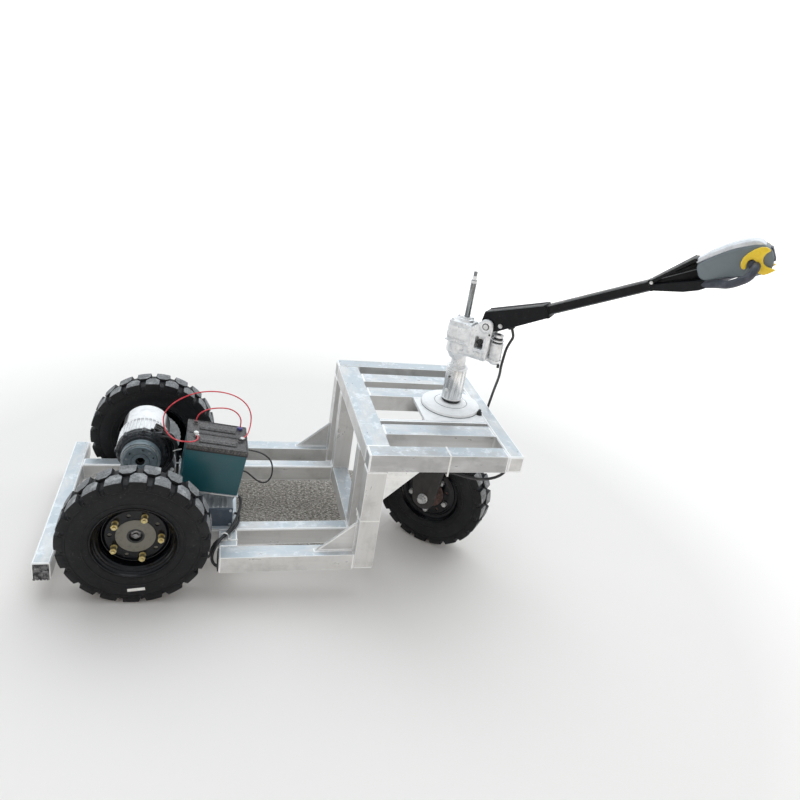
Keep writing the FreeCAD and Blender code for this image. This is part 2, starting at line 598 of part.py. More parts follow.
# ---------------------------------------------------------------- cords and bent tubes
def bent_path(label, points):
    """Straight runs joined by tangent arcs, each as large as its two runs allow."""
    edges, radii, last = [], [], points[0]
    for before, corner, after in zip(points, points[1:], points[2:]):
        into, out = corner - before, after - corner
        setback = 0.45 * min(into.Length, out.Length)
        into.normalize()
        out.normalize()
        half_turn = into.getAngle(out) / 2
        radius = setback / math.tan(half_turn)
        inward = out - into
        inward.normalize()
        centre = corner + inward * (radius / math.cos(half_turn))
        start, end = corner - into * setback, corner + out * setback
        edges.append(Part.LineSegment(last, start).toShape())
        edges.append(Part.Arc(start, centre - inward * radius, end).toShape())
        radii.append(radius)
        last = end
    edges.append(Part.LineSegment(last, points[-1]).toShape())
    print(label, "length %.0f" % sum(e.Length for e in edges),
          "radii", " ".join("%.0f" % r for r in radii))
    return Part.Wire(edges)


def bent_tube(label, points, radius):
    """A round tube along a bent path, checked against its section times its length."""
    path = bent_path(label, points)
    first = points[1] - points[0]
    ring = Part.Wire(Part.makeCircle(radius, points[0], first))
    tube = path.makePipeShell([ring], True, False)
    expected = math.pi * radius ** 2 * path.Length
    if abs(tube.Volume - expected) > 0.01 * expected:
        raise ValueError("%s: volume %.0f, expected %.0f" % (label, tube.Volume, expected))
    return tube


def cords(label, frame, alias, *routes):
    radius = at(alias) / 2
    tubes = [bent_tube(label, route, radius) for route in routes]
    return shaped(label, frame, tubes[0] if len(tubes) == 1 else Part.makeCompound(tubes))


def loop_route(side):
    """One grip loop: from the bracket, outward under the head and back into its side."""
    out, head = at("loop_side"), at("head_half_width")
    start, end = at("head_start"), at("head_end")
    return [Vector(start, side * 24, -28), Vector(start + 36, side * 38, -34),
            Vector(start + 74, side * (out - 8), -38), Vector(end - 66, side * (out + 2), -30),
            Vector(end - 46, side * (out - 16), -11), Vector(end - 46, side * head, -9)]


behind_head = Part.makeBox(100, 200, 200, Vector(at("head_start") - 100, -100, -100))
under_shell = Part.makeBox(at("head_end"), 2 * at("head_half_width"), 200,
                           Vector(at("head_start") + 100, -at("head_half_width"), -100))
shaped("handle_loops", TILLER, Part.makeCompound([
    bent_tube("handle_loops", loop_route(side), at("loop_radius"))
    .cut(behind_head).cut(under_shell) for side in (1, -1)]))
lever = plate("ThumbLever", [
    ("head_end - 80", "-16"), ("head_end - 64", "-16"), ("head_end - 64", "4"),
    ("head_end - 30", "4"), ("head_end - 30", "-22"), ("head_end - 6", "-20"),
    ("head_end - 4", "-12"), ("head_end - 18", "4"), ("head_end - 18", "26"),
    ("head_end - 4", "42"), ("head_end - 14", "50"), ("head_end - 46", "40"),
    ("head_end - 70", "28"), ("head_end - 82", "8")], "lever_thickness / 2")
LEVER_SIDE = "(head_half_width + lever_thickness / 2)"
piece("thumb_levers", TILLER,
      moved("ThumbLeverLeft", lever, 0, LEVER_SIDE, 0),
      moved("ThumbLeverRight", lever, 0, "-" + LEVER_SIDE, 0))

# ---------------------------------------------------------------- rear axle and drive
AXLE = PLATFORM * Placement(Vector(0, 0, at("tyre_radius")), Rotation())
CASE_LEFT = "gear_case_side + gear_case_half_width"
CASE_RIGHT = "gear_case_side - gear_case_half_width"


def axle_half(side, start, sign):
    """A tapered axle tube with its cover plate and the bore for the wheel's shaft."""
    turn = AXES["y"] if sign > 0 else Rotation(Vector(1, 0, 0), 90)
    length = "(cover_plate_side - (%s))" % start
    tube = taper("AxleTube" + side, "z", 0, 0, start, "axle_tube_root", "axle_tube_radius",
                 length)
    cover = rod("AxleCover" + side, "z", 0, 0, "cover_plate_side - cover_plate_thickness",
                "cover_plate_radius", "cover_plate_thickness")
    bore = rod("ShaftBore" + side, "z", 0, 0, "cover_plate_side - shaft_reach - 12",
               "shaft_radius + running_gap", "shaft_reach + 13")
    solid = cut("AxleHalf" + side, fuse("AxleHalfBlank" + side, tube, cover), bore)
    return moved("AxleHalfAt" + side, solid, 0, 0, 0, turn)


axle_left = axle_half("Left", CASE_LEFT, 1)
axle_right = axle_half("Right", "-(%s)" % CASE_RIGHT, -1)
piece("axle_housing", AXLE, axle_left, axle_right)
CASE_WIDTH = "2 * gear_case_half_width"
MOTOR_DROP = "motor_z - tyre_radius"
piece("gear_case", AXLE,
      fuse("GearCase",
           rod("AxleCase", "y", 0, CASE_RIGHT, 0, "gear_case_radius", CASE_WIDTH),
           rod("MotorCase", "y", "motor_x", CASE_RIGHT, MOTOR_DROP, "motor_radius - 4",
               CASE_WIDTH),
           box("CaseWeb", "motor_x - 60", CASE_RIGHT, 0, 120, CASE_WIDTH, MOTOR_DROP),
           rod("SensorBoss", "z", 30, 60, "118 - tyre_radius", "gland_radius", 24)))
MOTOR_START = "%s - motor_length" % CASE_RIGHT
piece("drive_motor", AXLE,
      fuse("DriveMotor",
           rod("MotorBody", "y", "motor_x", MOTOR_START, MOTOR_DROP, "motor_radius",
               "motor_length"),
           rod("BrakeNeck", "y", "motor_x", MOTOR_START + " - brake_neck_length", MOTOR_DROP,
               "brake_neck_radius", "brake_neck_length"),
           box("TerminalBox", "motor_x + 31", MOTOR_START + " + 4", MOTOR_DROP + " + 47",
               30, 42, 26)))
piece("motor_brake", AXLE,
      cut("MotorBrake",
          rod("BrakeDisc", "y", "motor_x",
              MOTOR_START + " - brake_neck_length - brake_length", MOTOR_DROP, "brake_radius",
              "brake_length"),
          rod("BrakeBore", "y", "motor_x",
              MOTOR_START + " - brake_neck_length - brake_length - 1", MOTOR_DROP,
              "brake_bore", "brake_length - 4")))
SADDLES = [("Left", axle_left, INNER[0]), ("Right", axle_right, "-" + INNER[1])]
piece("axle_saddles", AXLE, *[
    cut("Saddle" + side,
        box("SaddleBlank" + side, -34, low, "rail_top - tyre_radius", 68,
            "inner_rail_width", "tyre_radius - rail_top - 6"), axle)
    for side, axle, low in SADDLES])

# ---------------------------------------------------------------- electronics
piece("equipment_tray", PLATFORM,
      box("EquipmentTray", "tray_rear", "-inner_rail_outer", "rail_top", "tray_length",
          "2 * inner_rail_outer", "tray_thickness"))
CONTROLLER_FLOOR = "rail_top + tray_thickness"
CONTROLLER_FRONT = "controller_rear + controller_length"
piece("controller", PLATFORM,
      fuse("Controller",
           box("ControllerBody", "controller_rear", "controller_right", CONTROLLER_FLOOR,
               "controller_length", "controller_width", "controller_height"),
           rod("CableGlandFront", "x", CONTROLLER_FRONT, "controller_right + 90",
               CONTROLLER_FLOOR + " + 49", "gland_radius", "gland_length"),
           rod("SensorGlandFront", "x", CONTROLLER_FRONT, "controller_right + 40",
               CONTROLLER_FLOOR + " + 16", "gland_radius", "gland_length")))
piece("controller_cover", PLATFORM,
      box("ControllerCover", "controller_rear", "controller_right - end_cover_thickness",
          CONTROLLER_FLOOR, "controller_length", "end_cover_thickness", "controller_height"))


def battery_cradle():
    """A tilted shelf: its legs stand on the tray and on the controller."""
    tilt = PLATFORM.inverse() * BATTERIES
    width = 2 * at("battery_width") + at("battery_gap")
    thick = at("cradle_thickness")
    shelf = Part.makeBox(at("battery_length"), width, thick, Vector(0, 0, -thick))
    above = Part.makeBox(600, 600, 400, Vector(-200, -200, -thick / 2))
    shelf.Placement = tilt
    above.Placement = tilt
    floor = at("rail_top") + at("tray_thickness")
    on_controller = floor + at("controller_height")
    leg_width = at("cradle_leg_width")
    right, left = at("battery_right"), at("battery_right") + width
    front = at("controller_rear") + at("controller_length") - 20
    legs = [(at("battery_rear") + 2, right, floor),
            (at("battery_rear") + 2, left - leg_width, floor),
            (front, (right + left) / 2, on_controller)]
    cradle = shelf
    for x, y, z in legs:
        post = Part.makeBox(thick, leg_width, 250, Vector(x, y, z))
        cradle = cradle.fuse(post.cut(above))
    return cradle.removeSplitter()


shaped("battery_cradle", PLATFORM, battery_cradle())
BATTERY_SIDES = {"right": "0", "left": "battery_width + battery_gap"}
for side, low in BATTERY_SIDES.items():
    piece("battery_" + side, BATTERIES,
          box("BatteryCase" + side, 0, low, 0, "battery_length", "battery_width",
              "case_height"))
piece("battery_lids", BATTERIES, *[
    box("BatteryLid" + side, "-lid_overhang", low + " - lid_overhang", "case_height",
        "battery_length + 2 * lid_overhang", "battery_width + 2 * lid_overhang",
        "lid_height") for side, low in BATTERY_SIDES.items()])
LID_TOP = "case_height + lid_height"


def terminal(name, x, y):
    return rod(name, "z", x, y, LID_TOP, "terminal_radius", "terminal_height")


def lug(name, x, y, turn):
    """A flat ring lug on a terminal that points along its lead."""
    tongue = box(name + "Tongue", 0, "-terminal_radius", 0, "lug_length",
                 "2 * terminal_radius", "lug_thickness")
    return moved(name, tongue, x, y, LID_TOP + " + terminal_height",
                 Rotation(Vector(0, 0, 1), turn))


piece("battery_terminals", BATTERIES,
      fuse("NearRear", terminal("NearRearPost", 24, 66), lug("NearRearLug", 24, 66, -75)),
      fuse("NearFront", terminal("NearFrontPost", 160, 70), lug("NearFrontLug", 160, 70, 60)),
      terminal("FarRearPost", 22, 160), terminal("FarFrontPost", 160, 158))

# ---------------------------------------------------------------- cords in place
gland_end = at("controller_rear") + at("controller_length") + at("gland_length")
floor = at("rail_top") + at("tray_thickness")
meeting = STEERING.inverse() * PLATFORM * Vector(1151, 45, 482)
arrival = meeting - STEERING.inverse() * PLATFORM * Vector(1153.7, 55.2, 460.5)
cords("tiller_cable_rear", PLATFORM, "control_cable", [
    Vector(gland_end, at("controller_right") + 90, floor + 49),
    Vector(gland_end + 15, at("controller_right") + 90, floor + 49),
    Vector(297, -119, 187), Vector(293, -151, 175),
    Vector(281, -193, 164), Vector(264, -233, 160), Vector(247, -262, 161),
    Vector(229, -288, 156), Vector(215, -304, 134), Vector(211, -307, 108),
    Vector(219, -304, 83), Vector(238, -299, 68), Vector(268, -292, 65),
    Vector(306, -288, 74), Vector(348, -287, 90), Vector(402, -289, 100),
    Vector(474, -288, 103), Vector(542, -289, 98), Vector(604, -288, 101),
    Vector(650, -287, 120), Vector(680, -288, 162), Vector(691, -288, 214),
    Vector(693, -288, 266), Vector(698, -289, 314), Vector(709, -291, 358),
    Vector(732, -298, 398), Vector(768, -309, 424), Vector(814, -322, 435),
    Vector(866, -332, 437.5), Vector(914, -338, 434), Vector(958, -341, 421),
    Vector(1003, -341, 413), Vector(1048, -338, 416), Vector(1085, -324, 425),
    Vector(1110, -290, 430), Vector(1121, -238, 428), Vector(1128, -172, 421),
    Vector(1135, -110, 408), Vector(1141, -56, 399), Vector(1147, -12, 396),
    Vector(1152, 24, 399), Vector(1156, 50, 411), Vector(1157, 63, 435),
    Vector(1153.7, 55.2, 460.5), Vector(1151, 45, 482)])
cords("sensor_lead", PLATFORM, "sensor_lead", [
    Vector(gland_end, at("controller_right") + 40, floor + 16),
    Vector(gland_end + 13, at("controller_right") + 40, floor + 16),
    Vector(294, -171, 156), Vector(284, -202, 151.5),
    Vector(262, -236, 149), Vector(241, -262, 151), Vector(222, -274, 146),
    Vector(211, -279, 126), Vector(208, -277, 100), Vector(200, -264, 76),
    Vector(182, -238, 62), Vector(150, -190, 56), Vector(112, -130, 59),
    Vector(78, -72, 60), Vector(52, -24, 60), Vector(38, 14, 66), Vector(31, 44, 80),
    Vector(30, 60, 98), Vector(30, 60, 118)])
cords("motor_cables", PLATFORM, "phase_cable", *[
    [Vector(52, y, 385), Vector(72, y, 385), Vector(88, y, 363), Vector(95, y, 325),
     Vector(97, y, 284), Vector(95, y, 246), Vector(96, y, 214), Vector(102, y, 192),
     Vector(113, y, 178), Vector(130, y, 178)] for y in (-62, -50, -38)])
cords("loop_cable", BATTERIES, "loop_lead", [
    Vector(at("battery_length"), 76, 126), Vector(206, 76, 126), Vector(239, 75, 121),
    Vector(269, 77, 100), Vector(281, 79, 67), Vector(282, 82, 34), Vector(267, 84, 12),
    Vector(240, 84, 18), Vector(213, 83, 38), Vector(197, 82, 48),
    Vector(at("battery_length"), 82, 48)])
cords("battery_leads", BATTERIES, "power_lead", [
    Vector(28.1, 50.5, 161), Vector(31, 39.7, 161), Vector(27, 17, 162), Vector(14, 3, 161),
    Vector(-5, 5, 158), Vector(-21, 20, 150), Vector(-31, 50, 138), Vector(-43, 92, 124),
    Vector(-60, 128, 122), Vector(-72, 149, 135), Vector(-78, 162, 163),
    Vector(-64, 171, 194), Vector(-36, 170, 224), Vector(0, 169, 249),
    Vector(44, 168, 265), Vector(92, 168, 269), Vector(134, 167, 261),
    Vector(165, 163, 243), Vector(183, 157, 219), Vector(189, 149, 191),
    Vector(187, 133, 170), Vector(181, 111, 161), Vector(174.7, 95.4, 161),
    Vector(168, 83.9, 161)], [
    Vector(22, 160, 159), Vector(22, 160, 172), Vector(29, 157, 190), Vector(47, 161, 204),
    Vector(74, 167, 212), Vector(112, 169, 217), Vector(140, 166, 209),
    Vector(157, 160, 192), Vector(160, 158, 173), Vector(160, 158, 159)])
clip = Vector(146.5, 12.5, 706)
cords("tiller_cable_middle", STEERING, "control_cable", [
    meeting, meeting + arrival * 2.23, Vector(118, 92, 579), Vector(131.5, 62.5, 624),
    Vector(140.5, 36, 659), clip - Vector(2.25, -3.6, 21.6), clip])
gland_face = STEERING.inverse() * TILLER * Vector(68, 0, -at("base_depth") - at("gland_length"))
gland_axis = STEERING.inverse() * TILLER * Vector(68, 0, -60) - gland_face
cords("tiller_cable_top", STEERING, "control_cable", [
    clip, clip + Vector(2.5, -4, 24), Vector(152, 5, 758),
    Vector(161, 2, 786), gland_face + gland_axis * 0.9, gland_face])

# ---------------------------------------------------------------- check and write
doc.recompute()
for obj in doc.Objects:
    if {"Invalid", "Error"} & set(obj.State):
        raise RuntimeError("%s did not recompute: %s" % (obj.Label, obj.State))
for part in PIECES:
    if part.Shape.isNull() or not part.Shape.isValid() or not part.Shape.Solids:
        raise RuntimeError("%s has no valid solid" % part.Label)
os.makedirs("parts", exist_ok=True)
for part in PIECES:
    part.Shape.exportStep("parts/%s.step" % part.Label)
print(len(PIECES), "sub-parts")
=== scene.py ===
# %% [markdown]
# # Electric cargo tricycle: the visual model
# The engineering model gives every part its size and place. This script loads it as a
# fixed frame, then gives it real finishes and models what a CAD program leaves plain:
# tyre treads, wheel studs, cable ties, screws, fins and the moulded handle.

# %% Load the frame
import bpy
import math
from mathutils import Matrix, Vector


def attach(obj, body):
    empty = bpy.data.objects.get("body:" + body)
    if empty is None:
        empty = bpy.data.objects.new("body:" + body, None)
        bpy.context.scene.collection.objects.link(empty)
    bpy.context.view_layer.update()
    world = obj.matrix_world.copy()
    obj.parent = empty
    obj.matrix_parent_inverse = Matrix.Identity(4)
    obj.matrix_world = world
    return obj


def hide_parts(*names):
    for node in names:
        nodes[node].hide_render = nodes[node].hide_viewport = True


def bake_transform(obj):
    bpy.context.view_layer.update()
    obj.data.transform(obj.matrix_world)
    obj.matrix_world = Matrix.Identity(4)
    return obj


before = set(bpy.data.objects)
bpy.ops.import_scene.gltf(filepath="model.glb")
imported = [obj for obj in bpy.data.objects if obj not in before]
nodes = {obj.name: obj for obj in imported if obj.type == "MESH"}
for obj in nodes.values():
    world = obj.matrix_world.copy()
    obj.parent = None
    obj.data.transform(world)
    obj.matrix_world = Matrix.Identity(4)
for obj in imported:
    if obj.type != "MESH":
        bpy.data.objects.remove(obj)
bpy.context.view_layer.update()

# %% [markdown]
# The maker measures each group of parts in its own frame, as a fitter would: the platform
# leans 2.9 degrees nose up, the steering stands on it turned 40.8 degrees to the right,
# and the tiller is lifted 29.6 degrees. A matrix for each frame lets a piece be modelled
# where it is simple, and then set in its place.

# %% Frames of the platform, steering, tiller, batteries and wheels
def shift(x, y, z):
    return Matrix.Translation((x, y, z))


def turn(degrees, axis):
    return Matrix.Rotation(math.radians(degrees), 4, axis)


AXLE_HEIGHT, WHEELBASE = 0.2075, 0.987
WHEEL_SIDE, AXLE_OFFSET = 0.307, -0.010
LEAN, STEER, LIFT = -2.9, -40.8, -29.6
ORIGIN = shift(-0.6622, 0.11735, 0)
PLATFORM = ORIGIN @ shift(0, 0, AXLE_HEIGHT) @ turn(LEAN, "Y") @ shift(0, 0, -AXLE_HEIGHT)
TURNTABLE = PLATFORM @ shift(WHEELBASE, 0, 0)
STEERING = TURNTABLE @ turn(STEER, "Z")
TILLER = STEERING @ shift(0.083, 0, 0.8237) @ turn(LIFT, "Y")
BATTERIES = PLATFORM @ shift(0.104, -0.186, 0.275) @ turn(8.4, "Y") @ turn(-4.3, "X")
REAR_LEFT = ORIGIN @ shift(0, AXLE_OFFSET + WHEEL_SIDE, AXLE_HEIGHT)
REAR_RIGHT = ORIGIN @ shift(0, AXLE_OFFSET - WHEEL_SIDE, AXLE_HEIGHT) @ turn(180, "Z")
FRONT_AXLE = STEERING @ shift(0, 0, 0.158777)
FRONT_WHEEL = FRONT_AXLE @ turn(180, "Z")
MOTOR = PLATFORM @ shift(-0.009, 0, 0.325)
print("steering axis at", [round(n, 3) for n in STEERING.translation])

# %% [markdown]
# The camera looks from the right side, over the low platform and a little from behind. Its
# lens is 31.9 mm on a 36 mm sensor. A small shift puts the view's middle where it belongs.

# %% Camera
bpy.ops.object.camera_add()
camera = bpy.context.object
camera.name = "camera"
camera.matrix_world = Matrix((
    (0.949624, -0.089454, -0.300353, -0.550167),
    (-0.237058, 0.421828, -0.875137, -1.969030),
    (0.204981, 0.902252, 0.379372, 1.538584),
    (0, 0, 0, 1)))
camera.data.sensor_width = 36
camera.data.lens = 31.853
camera.data.shift_x = -0.01974
camera.data.shift_y = -0.02616
bpy.context.scene.camera = camera

# %% [markdown]
# The set is an open yard on a grey day: a pale warm floor, a soft high sun behind the
# vehicle, a weak bluish sky and a white wall far away. Tops and rounded edges catch the
# light, and the sides take their tone from the ground.

# %% A helper for materials
FLOOR_SIZE = 60


def material(name, colour, roughness, metallic=0.0):
    """A new finish; returns the material and its shader."""
    made = bpy.data.materials.new(name)
    made.use_nodes = True
    shader = made.node_tree.nodes["Principled BSDF"]
    shader.inputs["Base Color"].default_value = (*colour, 1)
    shader.inputs["Roughness"].default_value = roughness
    shader.inputs["Metallic"].default_value = metallic
    return made, shader


# %% The floor, which glows a little far from the vehicle
bpy.ops.mesh.primitive_plane_add(size=FLOOR_SIZE, location=(0, 0, -0.0005))
floor = bpy.context.object
floor.name = "yard_floor"
floor_paint, floor_shader = material("pale_floor", (0.82, 0.785, 0.755), 0.9)
floor_shader.inputs["Emission Color"].default_value = (1.0, 1.0, 1.0, 1)
links, make = floor_paint.node_tree.links, floor_paint.node_tree.nodes.new
where = make("ShaderNodeTexCoord")
reach = make("ShaderNodeVectorMath")
glow = make("ShaderNodeMapRange")
reach.operation = "LENGTH"
for socket, value in zip(("From Min", "From Max", "To Min", "To Max"), (1.4, 3.2, 0.0, 0.5)):
    glow.inputs[socket].default_value = value
links.new(where.outputs["Object"], reach.inputs[0])
links.new(reach.outputs["Value"], glow.inputs["Value"])
links.new(glow.outputs["Result"], floor_shader.inputs["Emission Strength"])
floor.data.materials.append(floor_paint)

# %% White wall, dull board and concrete
bpy.ops.mesh.primitive_plane_add(size=1, location=(6, 14, 6.99),
                                 rotation=(math.pi / 2, 0, math.radians(-16)))
wall = bpy.context.object
wall.name = "white_wall"
wall.scale = (60, 14, 1)
wall_paint, wall_shader = material("wall_paint", (0.9, 0.9, 0.9), 0.9)
wall_shader.inputs["Emission Color"].default_value = (1.0, 1.0, 1.0, 1)
wall_shader.inputs["Emission Strength"].default_value = 0.45
wall.data.materials.append(wall_paint)
bpy.ops.mesh.primitive_plane_add(size=1, location=(0, -4.2, 1.5), rotation=(math.pi / 2, 0, 0))
board = bpy.context.object
board.name = "dull_side"
board.scale = (16, 3.2, 1)
board.data.materials.append(material("dull_brick", (0.60, 0.53, 0.48), 0.9)[0])
board.visible_camera = False
bpy.ops.mesh.primitive_plane_add(size=1, location=(-0.235, 0.295, 0.0006))
slab_floor = bpy.context.object
slab_floor.name = "concrete_patch"
slab_floor.scale = (0.73, 0.51, 1)

# %% Sun and sky
bpy.ops.object.light_add(type="SUN", location=(0, 0, 5))
sun = bpy.context.object
sun.name = "soft_sun"
sun.rotation_euler = Vector((-0.10, -0.45, -0.88)).to_track_quat("-Z", "Y").to_euler()
sun.data.energy = 1.8
sun.data.color = (0.89, 0.955, 1.0)
sun.data.angle = math.radians(75)
world = bpy.data.worlds.new("sky")
bpy.context.scene.world = world
world.use_nodes = True
surround = world.node_tree.nodes["Background"]
surround.inputs["Color"].default_value = (0.90, 0.96, 1.0, 1)
surround.inputs["Strength"].default_value = 0.64
bpy.context.scene.view_settings.view_transform = "Standard"
# %% [markdown]
# ## Finishes
# Each finish is a small node tree on Object coordinates. It starts from the shader's plain
# values and adds what the real surface shows: cloudy tone, fine grain, scratches and dust.

# %% Helpers for finishes
class Finish:
    """A node tree that is built step by step around one shader."""

    def __init__(self, name, colour, roughness, metallic=0.0):
        self.made, self.shader = material(name, colour, roughness, metallic)
        self.tree = self.made.node_tree
        self.coordinates = self.tree.nodes.new("ShaderNodeTexCoord")
        self.colour = colour

    def node(self, kind, **inputs):
        made = self.tree.nodes.new(kind)
        for name, value in inputs.items():
            socket = made.inputs[name.replace("_", " ")]
            if hasattr(value, "is_linked"):
                self.tree.links.new(value, socket)
            else:
                socket.default_value = value
        return made

    def noise(self, scale, stretch=(1, 1, 1), detail=3.0, roughness=0.55, turned=(0, 0, 0)):
        """Noise of so many spots a metre, stretched along an axis by a small number."""
        mapping = self.node("ShaderNodeMapping", Vector=self.coordinates.outputs["Object"],
                            Scale=stretch, Rotation=turned)
        made = self.node("ShaderNodeTexNoise", Vector=mapping.outputs["Vector"], Scale=scale,
                         Detail=detail, Roughness=roughness)
        return made.outputs["Fac"]

    def ramp(self, factor, low, high, dark=0.0, light=1.0):
        """The part of a factor between low and high, stretched from dark to light."""
        made = self.node("ShaderNodeMapRange", Value=factor)
        for name, value in zip(("From Min", "From Max", "To Min", "To Max"),
                               (low, high, dark, light)):
            made.inputs[name].default_value = value
        return made.outputs["Result"]

    def on_top(self, factor):
        """Keeps a factor on the faces that look up, for the painted sky reflection and highlights.
        """
        parts = self.node("ShaderNodeSeparateXYZ", Vector=self.coordinates.outputs["Normal"])
        both = self.tree.nodes.new("ShaderNodeMath")
        both.operation = "MULTIPLY"
        self.tree.links.new(factor, both.inputs[0])
        self.tree.links.new(self.ramp(parts.outputs["Z"], 0.6, 0.9), both.inputs[1])
        return both.outputs[0]

    def tint(self, factor, colour):
        """Lays a second colour over the first where the factor is high."""
        mix = self.tree.nodes.new("ShaderNodeMix")
        mix.data_type = "RGBA"
        base = self.shader.inputs["Base Color"]
        mix.inputs[6].default_value = base.default_value
        if base.is_linked:
            self.tree.links.new(base.links[0].from_socket, mix.inputs[6])
        mix.inputs[7].default_value = (*colour, 1)
        self.tree.links.new(factor, mix.inputs[0])
        self.tree.links.new(mix.outputs[2], base)
        return self

    def gloss(self, factor, smooth, rough):
        self.tree.links.new(self.ramp(factor, 0.3, 0.7, smooth, rough),
                            self.shader.inputs["Roughness"])
        return self

    def relief(self, factor, depth, strength=1.0):
        """Bumps of a depth in metres; more than one adds up."""
        bump = self.node("ShaderNodeBump", Height=factor, Distance=depth, Strength=strength)
        normal = self.shader.inputs["Normal"]
        if normal.is_linked:
            self.tree.links.new(normal.links[0].from_socket, bump.inputs["Normal"])
        self.tree.links.new(bump.outputs["Normal"], normal)
        return self

    def clouds(self, colour, scale, low, high, dark=0.0, light=1.0, **noise):
        """Lays a colour over the first in the clouds of a noise."""
        return self.tint(self.ramp(self.noise(scale, **noise), low, high, dark, light), colour)

    def polish(self, scale, smooth, rough, **noise):
        """Lets the gloss wander between two roughnesses."""
        return self.gloss(self.noise(scale, **noise), smooth, rough)

    def bumps(self, scale, depth, strength=1.0, **noise):
        """Raises a noise to a depth in metres."""
        return self.relief(self.noise(scale, **noise), depth, strength)


concrete = Finish("rough_concrete", (0.34, 0.315, 0.28), 0.9)
concrete.clouds((0.13, 0.115, 0.10), 62, 0.47, 0.56, detail=4, roughness=0.8)
concrete.clouds((0.62, 0.59, 0.54), 85, 0.56, 0.62, detail=3)
concrete.bumps(70, 0.003, detail=5)
slab_floor.data.materials.append(concrete.made)

# %% [markdown]
# ## Cords
# One 9 mm control cable leaves the controller, follows the right side of the frame and
# the post, runs under the deck and climbs to the tiller. It is drawn as three curves that
# meet end to end; the last two are drawn in the steering's frame. A NURBS curve of order 3
# runs smoothly through the maker's own route points.

# %% Cable and lead finishes
black_cable = Finish("black_cable", (0.018, 0.018, 0.020), 0.42)
black_cable.clouds((0.05, 0.05, 0.052), 60, 0.45, 0.8)
black_cable.polish(240, 0.36, 0.55)
black_cable.bumps(900, 0.0001)
red_lead = Finish("red_lead", (0.66, 0.028, 0.045), 0.38)
red_lead.clouds((0.80, 0.10, 0.12), 90, 0.4, 0.75)
red_lead.bumps(1400, 0.00005)


print("finishes so far:", len(bpy.data.materials))


# %% Helpers for cords
def route_curve(name, place, points, diameter, finish):
    """A round cord on one open NURBS spline through route points of a frame."""
    curve = bpy.data.curves.new(name, "CURVE")
    curve.dimensions = "3D"
    spline = curve.splines.new("NURBS")
    spline.points.add(len(points) - 1)
    for control, point in zip(spline.points, points):
        control.co = (*(place @ Vector(point)), 1)
    spline.order_u = 3
    spline.use_endpoint_u = True
    spline.resolution_u = 6
    curve.bevel_depth = diameter / 2
    curve.bevel_resolution = 4
    curve.use_fill_caps = True
    curve.materials.append(finish.made)
    cord = bpy.data.objects.new(name, curve)
    bpy.context.scene.collection.objects.link(cord)
    return cord


def centre_line(cord):
    """Points along the middle of a cord, read from its own spline."""
    depth, cord.data.bevel_depth = cord.data.bevel_depth, 0
    bpy.context.view_layer.update()
    line = bpy.data.meshes.new_from_object(cord.evaluated_get(
        bpy.context.evaluated_depsgraph_get()))
    cord.data.bevel_depth = depth
    return [tuple(v.co) for v in line.vertices]


cords = []


def free_cord(name, place, points, diameter, finish, body):
    cord = route_curve(name, place, points, diameter, finish)
    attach(cord, body)
    cords.append(cord)
    return cord


def bending_cord(name, place, points, diameter, finish):
    """A cord as a mesh tube."""
    cord = route_curve(name, place, points, diameter, finish)
    path = centre_line(cord)
    bpy.ops.object.select_all(action="DESELECT")
    cord.select_set(True)
    bpy.context.view_layer.objects.active = cord
    bpy.ops.object.convert(target="MESH")
    cord = bpy.context.object
    bpy.ops.object.shade_smooth_by_angle(angle=math.radians(50))
    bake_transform(cord)
    cords.append(cord)
    return cord


# %% Control cable, from the controller to the foot of the tiller
CABLE = 0.009
rear_cable = free_cord("control_cable_rear", PLATFORM, [
    (0.276, -0.1, 0.194), (0.291, -0.1, 0.194), (0.297, -0.119, 0.187),
    (0.293, -0.151, 0.175), (0.281, -0.193, 0.164), (0.264, -0.233, 0.16),
    (0.247, -0.262, 0.161), (0.229, -0.288, 0.156), (0.215, -0.304, 0.134),
    (0.211, -0.307, 0.108), (0.219, -0.304, 0.083), (0.238, -0.299, 0.068),
    (0.268, -0.292, 0.065), (0.306, -0.288, 0.074), (0.348, -0.287, 0.09),
    (0.402, -0.289, 0.1), (0.474, -0.288, 0.103), (0.542, -0.289, 0.098),
    (0.604, -0.288, 0.101), (0.65, -0.287, 0.12), (0.68, -0.288, 0.162),
    (0.691, -0.288, 0.214), (0.693, -0.288, 0.266), (0.698, -0.289, 0.314),
    (0.709, -0.291, 0.358), (0.732, -0.298, 0.398), (0.768, -0.309, 0.424),
    (0.814, -0.322, 0.435), (0.866, -0.332, 0.4375), (0.914, -0.338, 0.434),
    (0.958, -0.341, 0.421), (1.003, -0.341, 0.413), (1.048, -0.338, 0.416),
    (1.085, -0.324, 0.425), (1.11, -0.29, 0.43), (1.121, -0.238, 0.428),
    (1.128, -0.172, 0.421), (1.135, -0.11, 0.408), (1.141, -0.056, 0.399),
    (1.147, -0.012, 0.396), (1.152, 0.024, 0.399), (1.156, 0.05, 0.411),
    (1.157, 0.063, 0.435), (1.1537, 0.0552, 0.4605), (1.151, 0.045, 0.482),
], CABLE, black_cable, "chassis")
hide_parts("tiller_cable_rear")

meeting = STEERING.inverted() @ PLATFORM @ Vector((1.151, 0.045, 0.482))
arrival = meeting - STEERING.inverted() @ PLATFORM @ Vector((1.1537, 0.0552, 0.4605))
CLIP = Vector((0.1465, 0.0125, 0.706))
middle_route = [
    meeting, meeting + arrival * 2.23, (0.118, 0.092, 0.579), (0.1315, 0.0625, 0.624),
    (0.1405, 0.036, 0.659), CLIP - Vector((0.00225, -0.0036, 0.0216)), CLIP]
# The steering turns this stretch by up to 116 degrees.
middle_cable = bending_cord("control_cable_middle", STEERING, middle_route, CABLE,
                            black_cable)
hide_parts("tiller_cable_middle")

